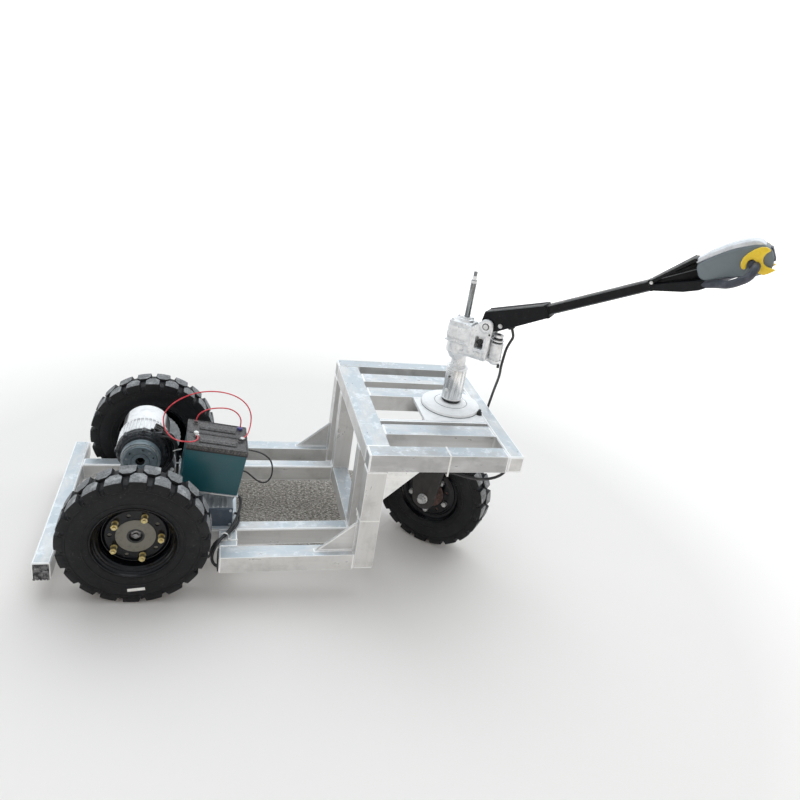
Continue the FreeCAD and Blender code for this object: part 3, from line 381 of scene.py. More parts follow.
gland_face = STEERING.inverted() @ TILLER @ Vector((0.068, 0, -0.031))
gland_axis = STEERING.inverted() @ TILLER @ Vector((0.068, 0, -0.060)) - gland_face
top_route = [CLIP, CLIP + Vector((0.0025, -0.004, 0.024)), (0.152, 0.005, 0.758),
             (0.161, 0.002, 0.786), gland_face + gland_axis * 0.9, gland_face]
top_cable = bending_cord("control_cable_top", STEERING, top_route, CABLE,
                         black_cable)
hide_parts("tiller_cable_top")

# %% [markdown]
# The other cords are short: a sensor lead under the batteries to the axle case, three
# phase cables from the motor, a loop that goes back into the battery case, and two red
# battery leads that arch up between the terminals.

# %% Short cords at the axle and the batteries
sensor_lead = free_cord("sensor_lead_cord", PLATFORM, [
    (0.276, -0.15, 0.161), (0.289, -0.15, 0.161), (0.294, -0.171, 0.156),
    (0.284, -0.202, 0.1515), (0.262, -0.236, 0.149), (0.241, -0.262, 0.151),
    (0.222, -0.274, 0.146), (0.211, -0.279, 0.126), (0.208, -0.277, 0.1),
    (0.2, -0.264, 0.076), (0.182, -0.238, 0.062), (0.15, -0.19, 0.056),
    (0.112, -0.13, 0.059), (0.078, -0.072, 0.06), (0.052, -0.024, 0.06),
    (0.038, 0.014, 0.066), (0.031, 0.044, 0.08), (0.03, 0.06, 0.098), (0.03, 0.06, 0.118),
], 0.008, black_cable, "chassis")
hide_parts("sensor_lead")

PHASE_SIDES = (-0.062, -0.050, -0.038)
for number, side in enumerate(PHASE_SIDES, start=1):
    phase = free_cord("phase_cable_%d" % number, PLATFORM, [
        (0.052, side, 0.385), (0.072, side, 0.385), (0.088, side, 0.363),
        (0.095, side, 0.325), (0.097, side, 0.284), (0.095, side, 0.246),
        (0.096, side, 0.214), (0.102, side, 0.192), (0.113, side, 0.178),
        (0.130, side, 0.178)], 0.008, black_cable, "chassis")
    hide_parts("motor_cables")

loop_lead = free_cord("case_loop_lead", BATTERIES, [
    (0.181, 0.076, 0.126), (0.206, 0.076, 0.126), (0.239, 0.075, 0.121),
    (0.269, 0.077, 0.100), (0.281, 0.079, 0.067), (0.282, 0.082, 0.034),
    (0.267, 0.084, 0.012), (0.240, 0.084, 0.018), (0.213, 0.083, 0.038),
    (0.197, 0.082, 0.048), (0.181, 0.082, 0.048)], 0.005, black_cable, "chassis")
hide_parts("loop_cable")

long_lead = free_cord("battery_lead_long", BATTERIES, [
    (0.0281, 0.0505, 0.161), (0.031, 0.0397, 0.161), (0.027, 0.017, 0.162),
    (0.014, 0.003, 0.161), (-0.005, 0.005, 0.158), (-0.021, 0.02, 0.15),
    (-0.031, 0.05, 0.138), (-0.043, 0.092, 0.124), (-0.06, 0.128, 0.122),
    (-0.072, 0.149, 0.135), (-0.078, 0.162, 0.163), (-0.064, 0.171, 0.194),
    (-0.036, 0.17, 0.224), (0, 0.169, 0.249), (0.044, 0.168, 0.265), (0.092, 0.168, 0.269),
    (0.134, 0.167, 0.261), (0.165, 0.163, 0.243), (0.183, 0.157, 0.219),
    (0.189, 0.149, 0.191), (0.187, 0.133, 0.17), (0.181, 0.111, 0.161),
    (0.1747, 0.0954, 0.161), (0.168, 0.0839, 0.161),
], 0.004, red_lead, "chassis")
short_lead = free_cord("battery_lead_short", BATTERIES, [
    (0.022, 0.16, 0.159), (0.022, 0.16, 0.172), (0.029, 0.157, 0.19), (0.047, 0.161, 0.204),
    (0.074, 0.167, 0.212), (0.112, 0.169, 0.217), (0.14, 0.166, 0.209),
    (0.157, 0.16, 0.192), (0.16, 0.158, 0.173), (0.16, 0.158, 0.159),
], 0.004, red_lead, "chassis")
for lead in (long_lead, short_lead):
    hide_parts("battery_leads")
print("cords:", [cord.name for cord in cords])

# %% [markdown]
# ## Tools of the workshop
# A piece starts as a primitive, is shaped with edit operators, and is set in its frame at
# the end, with its place in its mesh. These helpers do the steps that every piece needs.

# %% Helpers for selecting and placing
def only(*pieces):
    """Selects these objects alone and makes the first one active."""
    if bpy.context.mode != "OBJECT":
        bpy.ops.object.mode_set(mode="OBJECT")
    bpy.ops.object.select_all(action="DESELECT")
    for piece in pieces:
        piece.select_set(True)
    bpy.context.view_layer.objects.active = pieces[0]
    return pieces[0]


def named(name):
    piece = bpy.context.object
    piece.name = piece.data.name = name
    return piece


def bake_place(piece, place=Matrix()):
    """Puts the object's place, turn and size into its mesh."""
    only(piece)
    piece.matrix_world = place @ piece.matrix_world
    bpy.ops.object.transform_apply(location=True, rotation=True, scale=True)
    return piece


def modify(piece, kind, **settings):
    """Adds a modifier and applies it."""
    only(piece)
    modifier = piece.modifiers.new(kind.title(), kind)
    for name, value in settings.items():
        setattr(modifier, name, value)
    bpy.ops.object.modifier_apply(modifier=modifier.name)
    return piece


def rounded(piece, width, segments=2, angle=30):
    return modify(piece, "BEVEL", width=width, segments=segments, limit_method="ANGLE",
                  angle_limit=math.radians(angle), use_clamp_overlap=True)


def smooth(piece, angle=35):
    only(piece)
    bpy.ops.object.shade_smooth_by_angle(angle=math.radians(angle))
    return piece


def joined(name, pieces):
    only(*pieces)
    if len(pieces) > 1:
        bpy.ops.object.join()
    return named(name)


def twin(piece, place):
    """A copy with its own mesh, moved by a matrix."""
    copy = piece.copy()
    copy.data = piece.data.copy()
    bpy.context.scene.collection.objects.link(copy)
    copy.data.transform(place)
    return copy


def round_about(name, piece, count, axis="Y", first=0.0):
    """Copies of a piece, evenly round an axis, joined in one object."""
    ring = [twin(piece, turn(first + 360 * k / count, axis)) for k in range(count)]
    bpy.data.objects.remove(piece)
    return joined(name, ring)


def fit_out(piece, body, slot, *finishes, place=Matrix(), stands_for=()):
    """Sets a finished piece in place, with its finish and its body; the slot is not used."""
    bake_place(piece, place)
    if finishes:
        piece.data.materials.clear()
        for finish in finishes:
            piece.data.materials.append(finish.made)
    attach(piece, body)
    if stands_for:
        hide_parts(*stands_for)
    print("made", piece.name, "with", len(piece.data.polygons), "faces")
    return piece


def assembled(name, pieces, body, slot, *finishes, angle=35, **more):
    """Joins pieces in one, shades it smooth below an angle and fits it out."""
    return fit_out(smooth(joined(name, pieces), angle), body, slot, *finishes, **more)


# %% Helpers for shapes
LYING = {"X": (0, math.pi / 2, 0), "Y": (-math.pi / 2, 0, 0), "Z": (0, 0, 0)}
MM = 0.001


def block(name, low, high, rounding=0.0):
    """A box between two corners in millimetres, with rounded edges."""
    size = [(b - a) * MM for a, b in zip(low, high)]
    bpy.ops.mesh.primitive_cube_add(size=1, location=[(a + b) / 2 * MM
                                                      for a, b in zip(low, high)])
    piece = named(name)
    piece.scale = size
    bake_place(piece)
    return rounded(piece, rounding * MM) if rounding else piece


def drum(name, axis, base, radius, length, sides=48, rounding=0.0, end_radius=None):
    """A round bar from a base point along an axis, in millimetres."""
    middle = Vector(base)
    middle["XYZ".index(axis)] += length / 2
    make = {"vertices": sides, "location": middle * MM, "rotation": LYING[axis]}
    if end_radius is None:
        bpy.ops.mesh.primitive_cylinder_add(radius=radius * MM, depth=abs(length) * MM, **make)
    else:
        bpy.ops.mesh.primitive_cone_add(radius1=radius * MM, radius2=end_radius * MM,
                                        depth=length * MM, **make)
    piece = bake_place(named(name))
    return rounded(piece, rounding * MM) if rounding else piece


def lathe(name, outline, steps=96):
    """A closed outline of (radius, distance along Y) in millimetres, spun about Y."""
    bpy.ops.mesh.primitive_plane_add(size=0.001)
    piece = named(name)
    bpy.ops.object.mode_set(mode="EDIT")
    bpy.ops.mesh.select_all(action="SELECT")
    bpy.ops.mesh.merge(type="CENTER")
    bpy.ops.transform.translate(value=(outline[0][0] * MM, outline[0][1] * MM, 0))
    for before, after in zip(outline, list(outline[1:]) + [outline[0]]):
        bpy.ops.mesh.extrude_vertices_move(TRANSFORM_OT_translate={
            "value": ((after[0] - before[0]) * MM, (after[1] - before[1]) * MM, 0)})
    bpy.ops.mesh.select_all(action="SELECT")
    bpy.ops.mesh.remove_doubles(threshold=1e-6)
    bpy.ops.mesh.spin(steps=steps, angle=2 * math.pi, center=(0, 0, 0), axis=(0, 1, 0))
    bpy.ops.mesh.select_all(action="SELECT")
    bpy.ops.mesh.remove_doubles(threshold=1e-6)
    bpy.ops.mesh.normals_make_consistent(inside=False)
    bpy.ops.object.mode_set(mode="OBJECT")
    return piece


def carved(piece, *tools):
    """Cuts tools out of a piece and clears them away."""
    for tool in tools:
        only(piece)
        modifier = piece.modifiers.new("Carve", "BOOLEAN")
        modifier.object = tool
        modifier.operation = "DIFFERENCE"
        modifier.solver = "EXACT"
        bpy.ops.object.modifier_apply(modifier=modifier.name)
        bpy.data.objects.remove(tool)
    return piece


def hex_nut(name, axis, base, across, height):
    """A hexagon nut with chamfered corners."""
    return drum(name, axis, base, across / math.sqrt(3), height, 6, height * 0.08)


def softened(name, width, segments=2, angle=35, edge=None):
    """Rounds the edges of a CAD node by modifiers that stay live; the bevels may take a finish of
    painted highlight.
    """
    weld = nodes[name].modifiers.new("Weld", "WELD")
    weld.merge_threshold = 1e-5
    bevel = nodes[name].modifiers.new("Edges", "BEVEL")
    bevel.width = width * MM
    bevel.segments = segments
    bevel.limit_method = "ANGLE"
    bevel.angle_limit = math.radians(angle)
    bevel.harden_normals = True
    if edge:
        nodes[name].data.materials.append(edge.made)
        bevel.material = 1


def dress(name, finish, width=0.0, segments=2, edge=None):
    """Gives a CAD node its finish and, with a width in millimetres, soft edges."""
    materials = nodes[name].data.materials
    materials.clear()
    materials.append(finish.made)
    if width:
        softened(name, width, segments, edge=edge)
    print("dressed", name, "in", finish.made.name)


def slab(name, outline, low, high, rounding=0.0, segments=2, angle=30):
    """An outline of (x, z) corners in millimetres, as thick as the span from low to high."""
    bpy.ops.mesh.primitive_circle_add(vertices=len(outline), radius=0.01, fill_type="NGON")
    piece = named(name)
    for corner, (x, z) in zip(piece.data.vertices, outline):
        corner.co = (x * MM, low * MM, z * MM)
    bpy.ops.object.mode_set(mode="EDIT")
    bpy.ops.mesh.select_all(action="SELECT")
    bpy.ops.mesh.extrude_region_move(TRANSFORM_OT_translate={"value": (0, (high - low) * MM, 0)})
    bpy.ops.mesh.select_all(action="SELECT")
    bpy.ops.mesh.normals_make_consistent(inside=False)
    bpy.ops.object.mode_set(mode="OBJECT")
    return rounded(piece, rounding * MM, segments, angle) if rounding else piece


def ribbon(name, points, wide, thick):
    """A flat bar through points in millimetres, as wide as the frame's Y direction allows."""
    bars = []
    for a, b in zip(points, points[1:]):
        a, b = Vector(a), Vector(b)
        bar = block(name, (-thick / 2, -wide / 2, -thick / 2),
                    (thick / 2, wide / 2, (b - a).length + thick / 2), thick * 0.3)
        bar.data.transform(Matrix.Translation(a * MM)
                           @ (b - a).to_track_quat("Z", "Y").to_matrix().to_4x4())
        bars.append(bar)
    return joined(name, bars)


# %% [markdown]
# ## Wheels
# The tyres are pneumatic, with two staggered rows of house-shaped lugs. Their faces are
# dusty and grey from the ground while the sides stay black. The casing is an outline spun
# about the axle. One lug is modelled flat, then wrapped on the casing and repeated.

# %% Rubber and wheel finishes
sidewall_rubber = Finish("sidewall_rubber", (0.0105, 0.011, 0.0125), 0.5)
sidewall_rubber.shader.inputs["Specular IOR Level"].default_value = 0.22
sidewall_rubber.clouds((0.034, 0.036, 0.038), 9, 0.5, 0.78, 0, 0.5, detail=6)
sidewall_rubber.clouds((0.06, 0.06, 0.058), 150, 0.62, 0.75, 0, 0.6)
sidewall_rubber.polish(40, 0.38, 0.66, detail=5)
sidewall_rubber.bumps(420, 0.0003)
lug_rubber = Finish("lug_rubber", (0.245, 0.25, 0.255), 0.85)
lug_rubber.shader.inputs["Specular IOR Level"].default_value = 0.15
lug_rubber.clouds((0.085, 0.087, 0.09), 300, 0.48, 0.62, 0, 0.85, detail=5, roughness=0.7)
lug_rubber.clouds((0.40, 0.405, 0.41), 34, 0.5, 0.72)
lug_rubber.clouds((0.14, 0.142, 0.147), 110, 0.54, 0.64, detail=6, roughness=0.7)
lug_rubber.bumps(700, 0.0004)
rim_enamel = Finish("rim_enamel", (0.0035, 0.004, 0.006), 0.2)
rim_enamel.shader.inputs["Specular IOR Level"].default_value = 0.34
rim_enamel.clouds((0.020, 0.020, 0.022), 70, 0.60, 0.74, 0, 0.5, detail=5)
rim_enamel.polish(30, 0.08, 0.26, detail=5)
rim_enamel.bumps(200, 0.00012)
grey_casting = Finish("grey_casting", (0.185, 0.18, 0.15), 0.5, 0.2)
grey_casting.clouds((0.12, 0.115, 0.095), 90, 0.5, 0.7, 0, 0.6, detail=5)
grey_casting.bumps(500, 0.0002)
yellow_zinc = Finish("yellow_zinc", (0.62, 0.50, 0.19), 0.34, 0.75)
yellow_zinc.clouds((0.72, 0.62, 0.36), 160, 0.4, 0.65)
bright_zinc = Finish("bright_zinc", (0.66, 0.67, 0.67), 0.3, 0.85)
bright_zinc.clouds((0.38, 0.37, 0.35), 170, 0.5, 0.75)
bright_zinc.bumps(800, 0.0001)
rusty_casting = Finish("rusty_casting", (0.085, 0.052, 0.045), 0.7, 0.2)
rusty_casting.clouds((0.16, 0.10, 0.085), 120, 0.45, 0.6, detail=6)
rusty_casting.bumps(300, 0.0006, detail=6)
dull_steel = Finish("dull_steel", (0.27, 0.27, 0.275), 0.4, 0.85)
dull_steel.clouds((0.14, 0.11, 0.10), 180, 0.5, 0.66, detail=5)
dull_steel.bumps(600, 0.0002)
black_plastic = Finish("black_plastic", (0.018, 0.019, 0.021), 0.45)
black_plastic.clouds((0.045, 0.045, 0.048), 80, 0.5, 0.8)
black_plastic.bumps(600, 0.0001)
tie_nylon = Finish("tie_nylon", (0.86, 0.86, 0.84), 0.42)
tie_nylon.clouds((0.74, 0.74, 0.70), 200, 0.5, 0.8)

print("finishes so far:", len(bpy.data.materials))

# %% The casing of a tyre
HALF_CASING = [
    (198.5, 0), (198.5, 20), (198.0, 35), (195.8, 41.5), (191.0, 46.0), (185.0, 48.3),
    (181.0, 49.6), (178.2, 49.9), (177.0, 48.6), (171, 50.3), (162, 51.4), (152, 51.6),
    (143, 50.7), (140.0, 50.1), (138.8, 51.2), (136.6, 51.0), (135.6, 49.2), (129, 47.4),
    (124.5, 45.2), (121.2, 43.0), (119.6, 41.0), (118.6, 36.5), (112, 31.5), (104, 25.5)]
casing_outline = HALF_CASING + [(r, -y) for r, y in reversed(HALF_CASING) if y > 0]
casing = smooth(lathe("tyre_casing", casing_outline, 120), 25)
print("casing faces:", len(casing.data.polygons))

# %% [markdown]
# A lug is drawn flat: across it runs along the tread, and up it runs from the middle of
# the tyre to the shoulder. It is cut into strips so that it can bend, extruded to its
# height and drawn in a little at its top. Every corner is then wrapped round the wheel.

# %% One lug and its tie bar
LUGS = 20
TREAD_RADIUS, TREAD_EDGE, EDGE_WIDTH, EDGE_DROP = 200, 40, 9.6, 7.0
CROWN_RADIUS, GROOVE_RADIUS, SHOULDER_RADIUS = 207.5, 196.0, 184.0
LUG_BASE = [(-25, 49.9), (25, 49.9), (25, 13.0), (12.5, -2.6), (-12.5, -2.6), (-25, 13.0)]


def wrap(piece, radius_at):
    """Bends a flat piece round the Y axis: x is the way round, y across and z the height."""
    for corner in piece.data.vertices:
        across, height = corner.co.y, corner.co.z
        radius = radius_at(across, height)
        angle = corner.co.x / (TREAD_RADIUS * MM)
        corner.co = (radius * math.sin(angle), across, radius * math.cos(angle))
    return piece


def lug_radius(across, height):
    """Top or base of a lug: level on the tread and falling away over the shoulder."""
    over = max(0.0, across - TREAD_EDGE * MM) / (EDGE_WIDTH * MM)
    if height > 0:
        return (CROWN_RADIUS - EDGE_DROP * over * over) * MM
    return (GROOVE_RADIUS - (GROOVE_RADIUS - SHOULDER_RADIUS) * over) * MM


bpy.ops.mesh.primitive_circle_add(vertices=6, radius=0.03, fill_type="NGON")
lug = named("tyre_lug")
for corner, (along, across) in zip(lug.data.vertices, LUG_BASE):
    corner.co = (along * MM, across * MM, 0)
bpy.ops.object.mode_set(mode="EDIT")
for point, normal in (((0, 0, 0), (1, 0, 0)), ((-0.0125, 0, 0), (1, 0, 0)),
                      ((0.0125, 0, 0), (1, 0, 0)), ((0, 0.040, 0), (0, 1, 0)),
                      ((0, 0.045, 0), (0, 1, 0))):
    bpy.ops.mesh.select_all(action="SELECT")
    bpy.ops.mesh.bisect(plane_co=point, plane_no=normal)
bpy.ops.mesh.select_all(action="SELECT")
bpy.ops.mesh.extrude_region_move(TRANSFORM_OT_translate={"value": (0, 0, 0.014)})
bpy.ops.transform.resize(value=(0.86, 1, 1))
bpy.ops.mesh.select_all(action="SELECT")
bpy.ops.mesh.normals_make_consistent(inside=False)
bpy.ops.object.mode_set(mode="OBJECT")
for corner in lug.data.vertices:
    if corner.co.z > 0:
        corner.co.y -= 5.4 * MM * max(0.0, (corner.co.y / MM - TREAD_EDGE) / EDGE_WIDTH)
        corner.co.y += 2.4 * MM if corner.co.y < 0 else 0
wrap(lug, lug_radius)
rounded(lug, 1.1 * MM, 2, 28)
tie_bar = block("tie_bar", (29.3, 44.5, 0), (33.7, 50.2, 10), 0.8)
wrap(tie_bar, lambda across, height: (SHOULDER_RADIUS - 3.5) * MM + height)
lug = joined("tyre_lug", [lug, tie_bar])
print("lug faces:", len(lug.data.polygons))


# %% [markdown]
# Each tyre has two rows of twenty lugs, half a step apart. One lug is copied round the
# casing, and the faces that touch the ground get the dusty rubber. Each wheel stopped at
# another turn.

# %% Three tyres, each turned as it stopped
def tyre(name, frame_of_wheel, phase, body, node):
    rows = []
    for number in range(LUGS):
        step = turn(360 * number / LUGS + phase, "Y")
        rows.append(twin(lug, step))
        rows.append(twin(lug, turn(180 / LUGS, "Y") @ step @ turn(180, "Z")))
    made = joined(name, [twin(casing, Matrix())] + rows)
    made.data.materials.append(sidewall_rubber.made)
    made.data.materials.append(lug_rubber.made)
    for face in made.data.polygons:
        out = Vector((face.center.x, 0, face.center.z))
        worn = out.length > 203.0 * MM and face.normal.dot(out.normalized()) > 0.75
        face.material_index = 1 if worn else 0
    smooth(made, 28)
    bake_place(made, frame_of_wheel)
    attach(made, body)
    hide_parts(node)
    print("made", name, "with", len(made.data.polygons), "faces")


tyre("tyre_rear_left", REAR_LEFT, 4.6, "rear_wheel_left", "rear_tyre_left")
tyre("tyre_rear_right", REAR_RIGHT, 0.4, "rear_wheel_right", "rear_tyre_right")
tyre("tyre_front", FRONT_WHEEL, 0.0, "front_wheel", "front_tyre")
for pattern in (lug, casing):
    bpy.data.objects.remove(pattern)

# %% [markdown]
# The rims are pressed steel in black enamel: a rolled flange, a stepped well and a dished
# disc. The disc has ten holes and five studs, so that five holes stay open.

# %% Rims
STUDS, STUD_CIRCLE = 5, 69.6


def rim(name, frame_of_wheel, face, body, node, stud_phase):
    bowl = [
        (97.4, 12.0), (97.8, 17.6), (99.8, 20.4), (101.6, 22.2), (102.2, 24.4), (105.0, 27.2),
        (107.2, 29.2), (107.8, 31.4), (110.8, 34.4), (112.8, 36.6), (113.6, 39.4), (115.4, 41.8),
        (117.2, 42.4), (118.7, 41.8), (119.0, 40.2), (117.6, 36.2), (114.2, 32.6),
        (109.6, 29.0), (105.0, 25.4), (102.6, 21.6), (101.6, 17.0)]
    disc = [
        (97.4, face - 24), (93, face - 20), (88.5, face - 12), (85, face - 6.4),
        (82, face - 5), (54.6, face - 5), (54.6, face), (81, face), (83.6, face - 0.5),
        (86.4, face - 2.2), (88.6, face - 4.8), (90.6, face - 5.6), (92.6, face - 5.2),
        (94.2, face - 6.0), (95.8, face - 7.2), (96.8, face - 8.4), (97.3, face - 9.6)]
    near = [p for k, p in enumerate(bowl) if k > 13 or p[1] > face - 9.6]
    far = [(r, -y) for k, (r, y) in enumerate(bowl) if k > 13 or -y < face - 24.5]
    outline = near + far[::-1] + disc
    made = lathe(name, outline, 96)
    holes = drum("rim_holes", "Y", (STUD_CIRCLE, face - 9, 0), 6.2, 14, 20)
    holes = round_about("rim_holes", holes, STUDS, first=stud_phase + 36)
    carved(made, holes)
    smooth(made, 30)
    return fit_out(made, body, "rim_paint", rim_enamel, place=frame_of_wheel,
                   stands_for=(node,))


REAR_FACE, FRONT_FACE = 4, 36
PHASE_REAR, PHASE_FRONT = 36.4, 17.8
rim("rim_rear_left", REAR_LEFT, REAR_FACE, "rear_wheel_left", "rear_rim_left", PHASE_REAR)
rim("rim_rear_right", REAR_RIGHT, REAR_FACE, "rear_wheel_right", "rear_rim_right", PHASE_REAR)
rim("rim_front", FRONT_WHEEL, FRONT_FACE, "front_wheel", "front_rim", PHASE_FRONT)
for node in ("rear_hub_left", "rear_hub_right"):
    dress(node, grey_casting, 0.8)
dress("front_hub", rusty_casting, 1.2)


# %% [markdown]
# Five nuts hold each rim on its studs, and a castle nut with a split pin holds a driven hub
# on its shaft. They are turned parts, so drums and hexagons with small bevels do.

# %% Wheel nuts, studs and the castle nut
def wheel_nuts(name, frame_of_wheel, face, gap, reach, body, finish, phase):
    """Five taper nuts on studs, with the thread's end showing."""
    seat = drum("seat", "Y", (STUD_CIRCLE, face - 0.4, 0), 9.8, 3.0, 32, 0.4, end_radius=8.6)
    sleeve = drum("sleeve", "Y", (STUD_CIRCLE, face + 2, 0), 7.6, gap, 32, 0.4)
    nut = hex_nut("nut", "Y", (STUD_CIRCLE, face + gap, 0), 17, 9)
    stud = drum("stud", "Y", (STUD_CIRCLE, face + gap + 6, 0), 5.3, reach - gap - 6, 24, 0.9)
    threads = [drum("thread", "Y", (STUD_CIRCLE, face + gap + 9.6 + 1.5 * k, 0), 5.8, 0.7, 24, 0.3)
               for k in range(max(1, int((reach - gap - 10.6) / 1.5)))]
    made = joined("nut_and_stud", [seat, sleeve, nut, stud] + threads)
    made = smooth(round_about(name, made, STUDS, first=phase), 35)
    return fit_out(made, body, "axle_steel", finish, place=frame_of_wheel)


def castle_nut(name, frame_of_wheel, body):
    """Washer, slotted nut, split pin and shaft end in the recess of a driven hub, with a black
    liner in the recess as painted shade.
    """
    washer = drum("washer", "Y", (0, -12, 0), 18.0, 3.0, 48, 0.5)
    nut = hex_nut("nut", "Y", (0, -9, 0), 26, 9.0)
    crown = drum("crown", "Y", (0, 0, 0), 12.0, 5.4, 36, 0.5)
    slots = round_about("slots", block("slot", (-2.1, 1.4, -15), (2.1, 8, 15)), 3, "Y")
    carved(crown, slots)
    shaft = drum("shaft_end", "Y", (0, -13, 0), 8.0, 20.0, 32, 1.2)
    pin = drum("split_pin", "X", (-13.5, 3.2, 0), 1.4, 27, 12)
    made = smooth(joined(name, [washer, nut, crown, shaft, pin]), 35)
    fit_out(made, body, "axle_steel", dull_steel, place=frame_of_wheel)
    # Painted shade: a black liner and floor disc darken the hub's recess.
    recess_shade = lathe(name + "_liner", [(19.8, -13.8), (19.8, 5.2), (24.6, 5.2), (24.2, 6.2),
                                    (18.4, 6.2), (18.2, -13.4)], 64)
    recess_floor_shade = drum("recess_floor_shade", "Y", (0, -13.8, 0), 18.3, 0.6, 48)
    recess_shade = smooth(joined(name + "_liner", [recess_shade, recess_floor_shade]), 35)
    return fit_out(recess_shade, body, "hub_casting", black_plastic, place=frame_of_wheel)


for side, place in (("left", REAR_LEFT), ("right", REAR_RIGHT)):
    wheel_nuts("wheel_nuts_" + side, place, REAR_FACE, 12.0, 27.0, "rear_wheel_" + side,
               yellow_zinc, PHASE_REAR)
    castle_nut("castle_nut_" + side, place, "rear_wheel_" + side)
wheel_nuts("wheel_nuts_front", FRONT_WHEEL, FRONT_FACE, 2.4, 15.0, "front_wheel", bright_zinc,
           PHASE_FRONT)


# %% [markdown]
# A blank strip of white tape sticks low on the sidewall of the right rear tyre.

# %% Tape on the sidewall
tape = block("sidewall_tape", (-24, 50.9, -5), (24, 52.1, 5), 0.4)
tape.data.transform(shift(-0.0137, 0, -0.153) @ turn(8, "Y"))
smooth(tape, 35)
fit_out(tape, "rear_wheel_right", "tyre", tie_nylon, place=REAR_RIGHT)
# %% [markdown]
# ## Frame
# The frame is welded from mill-finish aluminium tube. Its skin has fine streaks along each
# tube, cloudy oxide and small scuffs, so there is one finish for each way a tube can lie. On
# the faces that look up, bluish patches are a painted sky reflection and light spots a
# painted highlight; the rounded edges carry a painted highlight too.

# %% Aluminium finishes
def mill(name, along, colour=(0.69, 0.682, 0.668)):
    """Mill-finish aluminium with its grain along an axis."""
    stretch = tuple(0.05 if axis == along else 1.0 for axis in "XYZ")
    loose = tuple(0.35 if axis == along else 1.0 for axis in "XYZ")
    made = Finish(name, colour, 0.40, 0.42)
    grain = made.noise(110, stretch, detail=5)
    made.tint(made.ramp(grain, 0.44, 0.70, 0, 0.22), tuple(0.72 * c for c in colour))
    made.clouds((0.70, 0.71, 0.72), 30, 0.48, 0.72, 0, 0.55, stretch=loose, detail=6,
                roughness=0.6)
    made.clouds(tuple(0.66 * c for c in colour), 13, 0.50, 0.66, 0, 0.50, detail=8,
                roughness=0.66)
    # Painted sky reflection: bluish patches on the faces that look up.
    sky_reflection = made.noise(19, loose, detail=6, roughness=0.68, turned=(0, 0, 0.7))
    made.tint(made.on_top(made.ramp(sky_reflection, 0.38, 0.56, 0.2, 0.95)), (0.49, 0.548, 0.595))
    # Painted highlight: light bluish spots on the faces that look up.
    spots = made.noise(30, detail=8, roughness=0.72, turned=(0.4, 0.7, 0.2))
    made.tint(made.on_top(made.ramp(spots, 0.53, 0.63, 0, 0.6)), (0.80, 0.84, 0.88))
    made.clouds((0.36, 0.355, 0.35), 120, 0.68, 0.76, 0, 0.5, detail=4, roughness=0.7)
    made.polish(40, 0.26, 0.50, stretch=loose, detail=5)
    made.bumps(150, 0.00005, stretch=stretch, detail=4)
    made.bumps(26, 0.0022, 0.7, stretch=loose, detail=5)
    return made


mill_x, mill_y, mill_z = (mill("mill_" + a.lower(), a) for a in "XYZ")
mill_deck = mill("mill_deck", "X", (0.46, 0.46, 0.458))
mill_plate = mill("mill_plate", "X", (0.90, 0.90, 0.89))
bead_metal = Finish("bead_metal", (0.80, 0.805, 0.81), 0.36, 0.6)
bead_metal.clouds((0.58, 0.58, 0.57), 260, 0.45, 0.7, 0, 0.7)
bead_metal.bumps(500, 0.0004)
# Painted shade: the end plates' dark grey stands for the shade on the end faces; the darker and
# lighter clouds are cut marks.
cut_and_shaded_end = Finish("cut_and_shaded_end", (0.20, 0.20, 0.205), 0.6, 0.5)
cut_and_shaded_end.clouds((0.035, 0.035, 0.04), 70, 0.45, 0.56, detail=7, roughness=0.7)
cut_and_shaded_end.clouds((0.42, 0.42, 0.42), 45, 0.56, 0.7, detail=5)
cut_and_shaded_end.bumps(180, 0.0016, detail=6)
# Painted highlight: near white on the tubes' rounded edges, where they catch the sky, with a few
# duller clouds.
edge_highlight_paint = Finish("edge_highlight_paint", (0.97, 0.975, 0.98), 0.34, 0.1)
edge_highlight_paint.clouds((0.84, 0.845, 0.85), 60, 0.48, 0.7, 0, 0.7, detail=5)
edge_highlight_paint.bumps(300, 0.0002)

WAYS = {
    mill_x: ("outer_rails", "inner_rails", "deck_slats"),
    mill_deck: ("deck_side_rails",), mill_plate: ("frame_gussets",),
    mill_y: ("rear_beam", "deck_rear_beam", "deck_front_beam", "cross_stubs",
             "front_cross_tube"),
    mill_z: ("inner_posts", "outer_posts")}
# Every tube's bevels take the painted highlight finish.
for finish, tubes in WAYS.items():
    for name in tubes:
        dress(name, finish, 1.4 if name == "frame_gussets" else 5.6, 3, edge=edge_highlight_paint)


# %% [markdown]
# Every joint has a weld. A bead is a row of small flattened drops, each laid half over the
# last one, between two points of the platform's frame.

# %% Weld beads
def bead(name, start, end, size=3.4):
    """A row of drops between two points in millimetres."""
    start, end = Vector(start) * MM, Vector(end) * MM
    count = max(2, round((end - start).length / (size * 0.95 * MM)) + 1)
    bpy.ops.mesh.primitive_ico_sphere_add(subdivisions=1, radius=size * MM)
    drop = named(name)
    array = drop.modifiers.new("Row", "ARRAY")
    array.use_relative_offset = False
    array.use_constant_offset = True
    array.constant_offset_displace = (end - start) / (count - 1)
    array.count = count
    only(drop)
    bpy.ops.object.modifier_apply(modifier=array.name)
    drop.location = start
    return bake_place(drop)


OUTER_FACE, OUTER_INSIDE, INNER_FACE, INNER_INSIDE = 349.3, 294.3, 211.0, 166.0
DECK, DECK_UNDER, RAIL, HALF_TUBE = 499.6, 443.1, 142.0, 27.5
beads = []


def lay(start, end, size=3.4):
    beads.append(bead("bead", start, end, size))


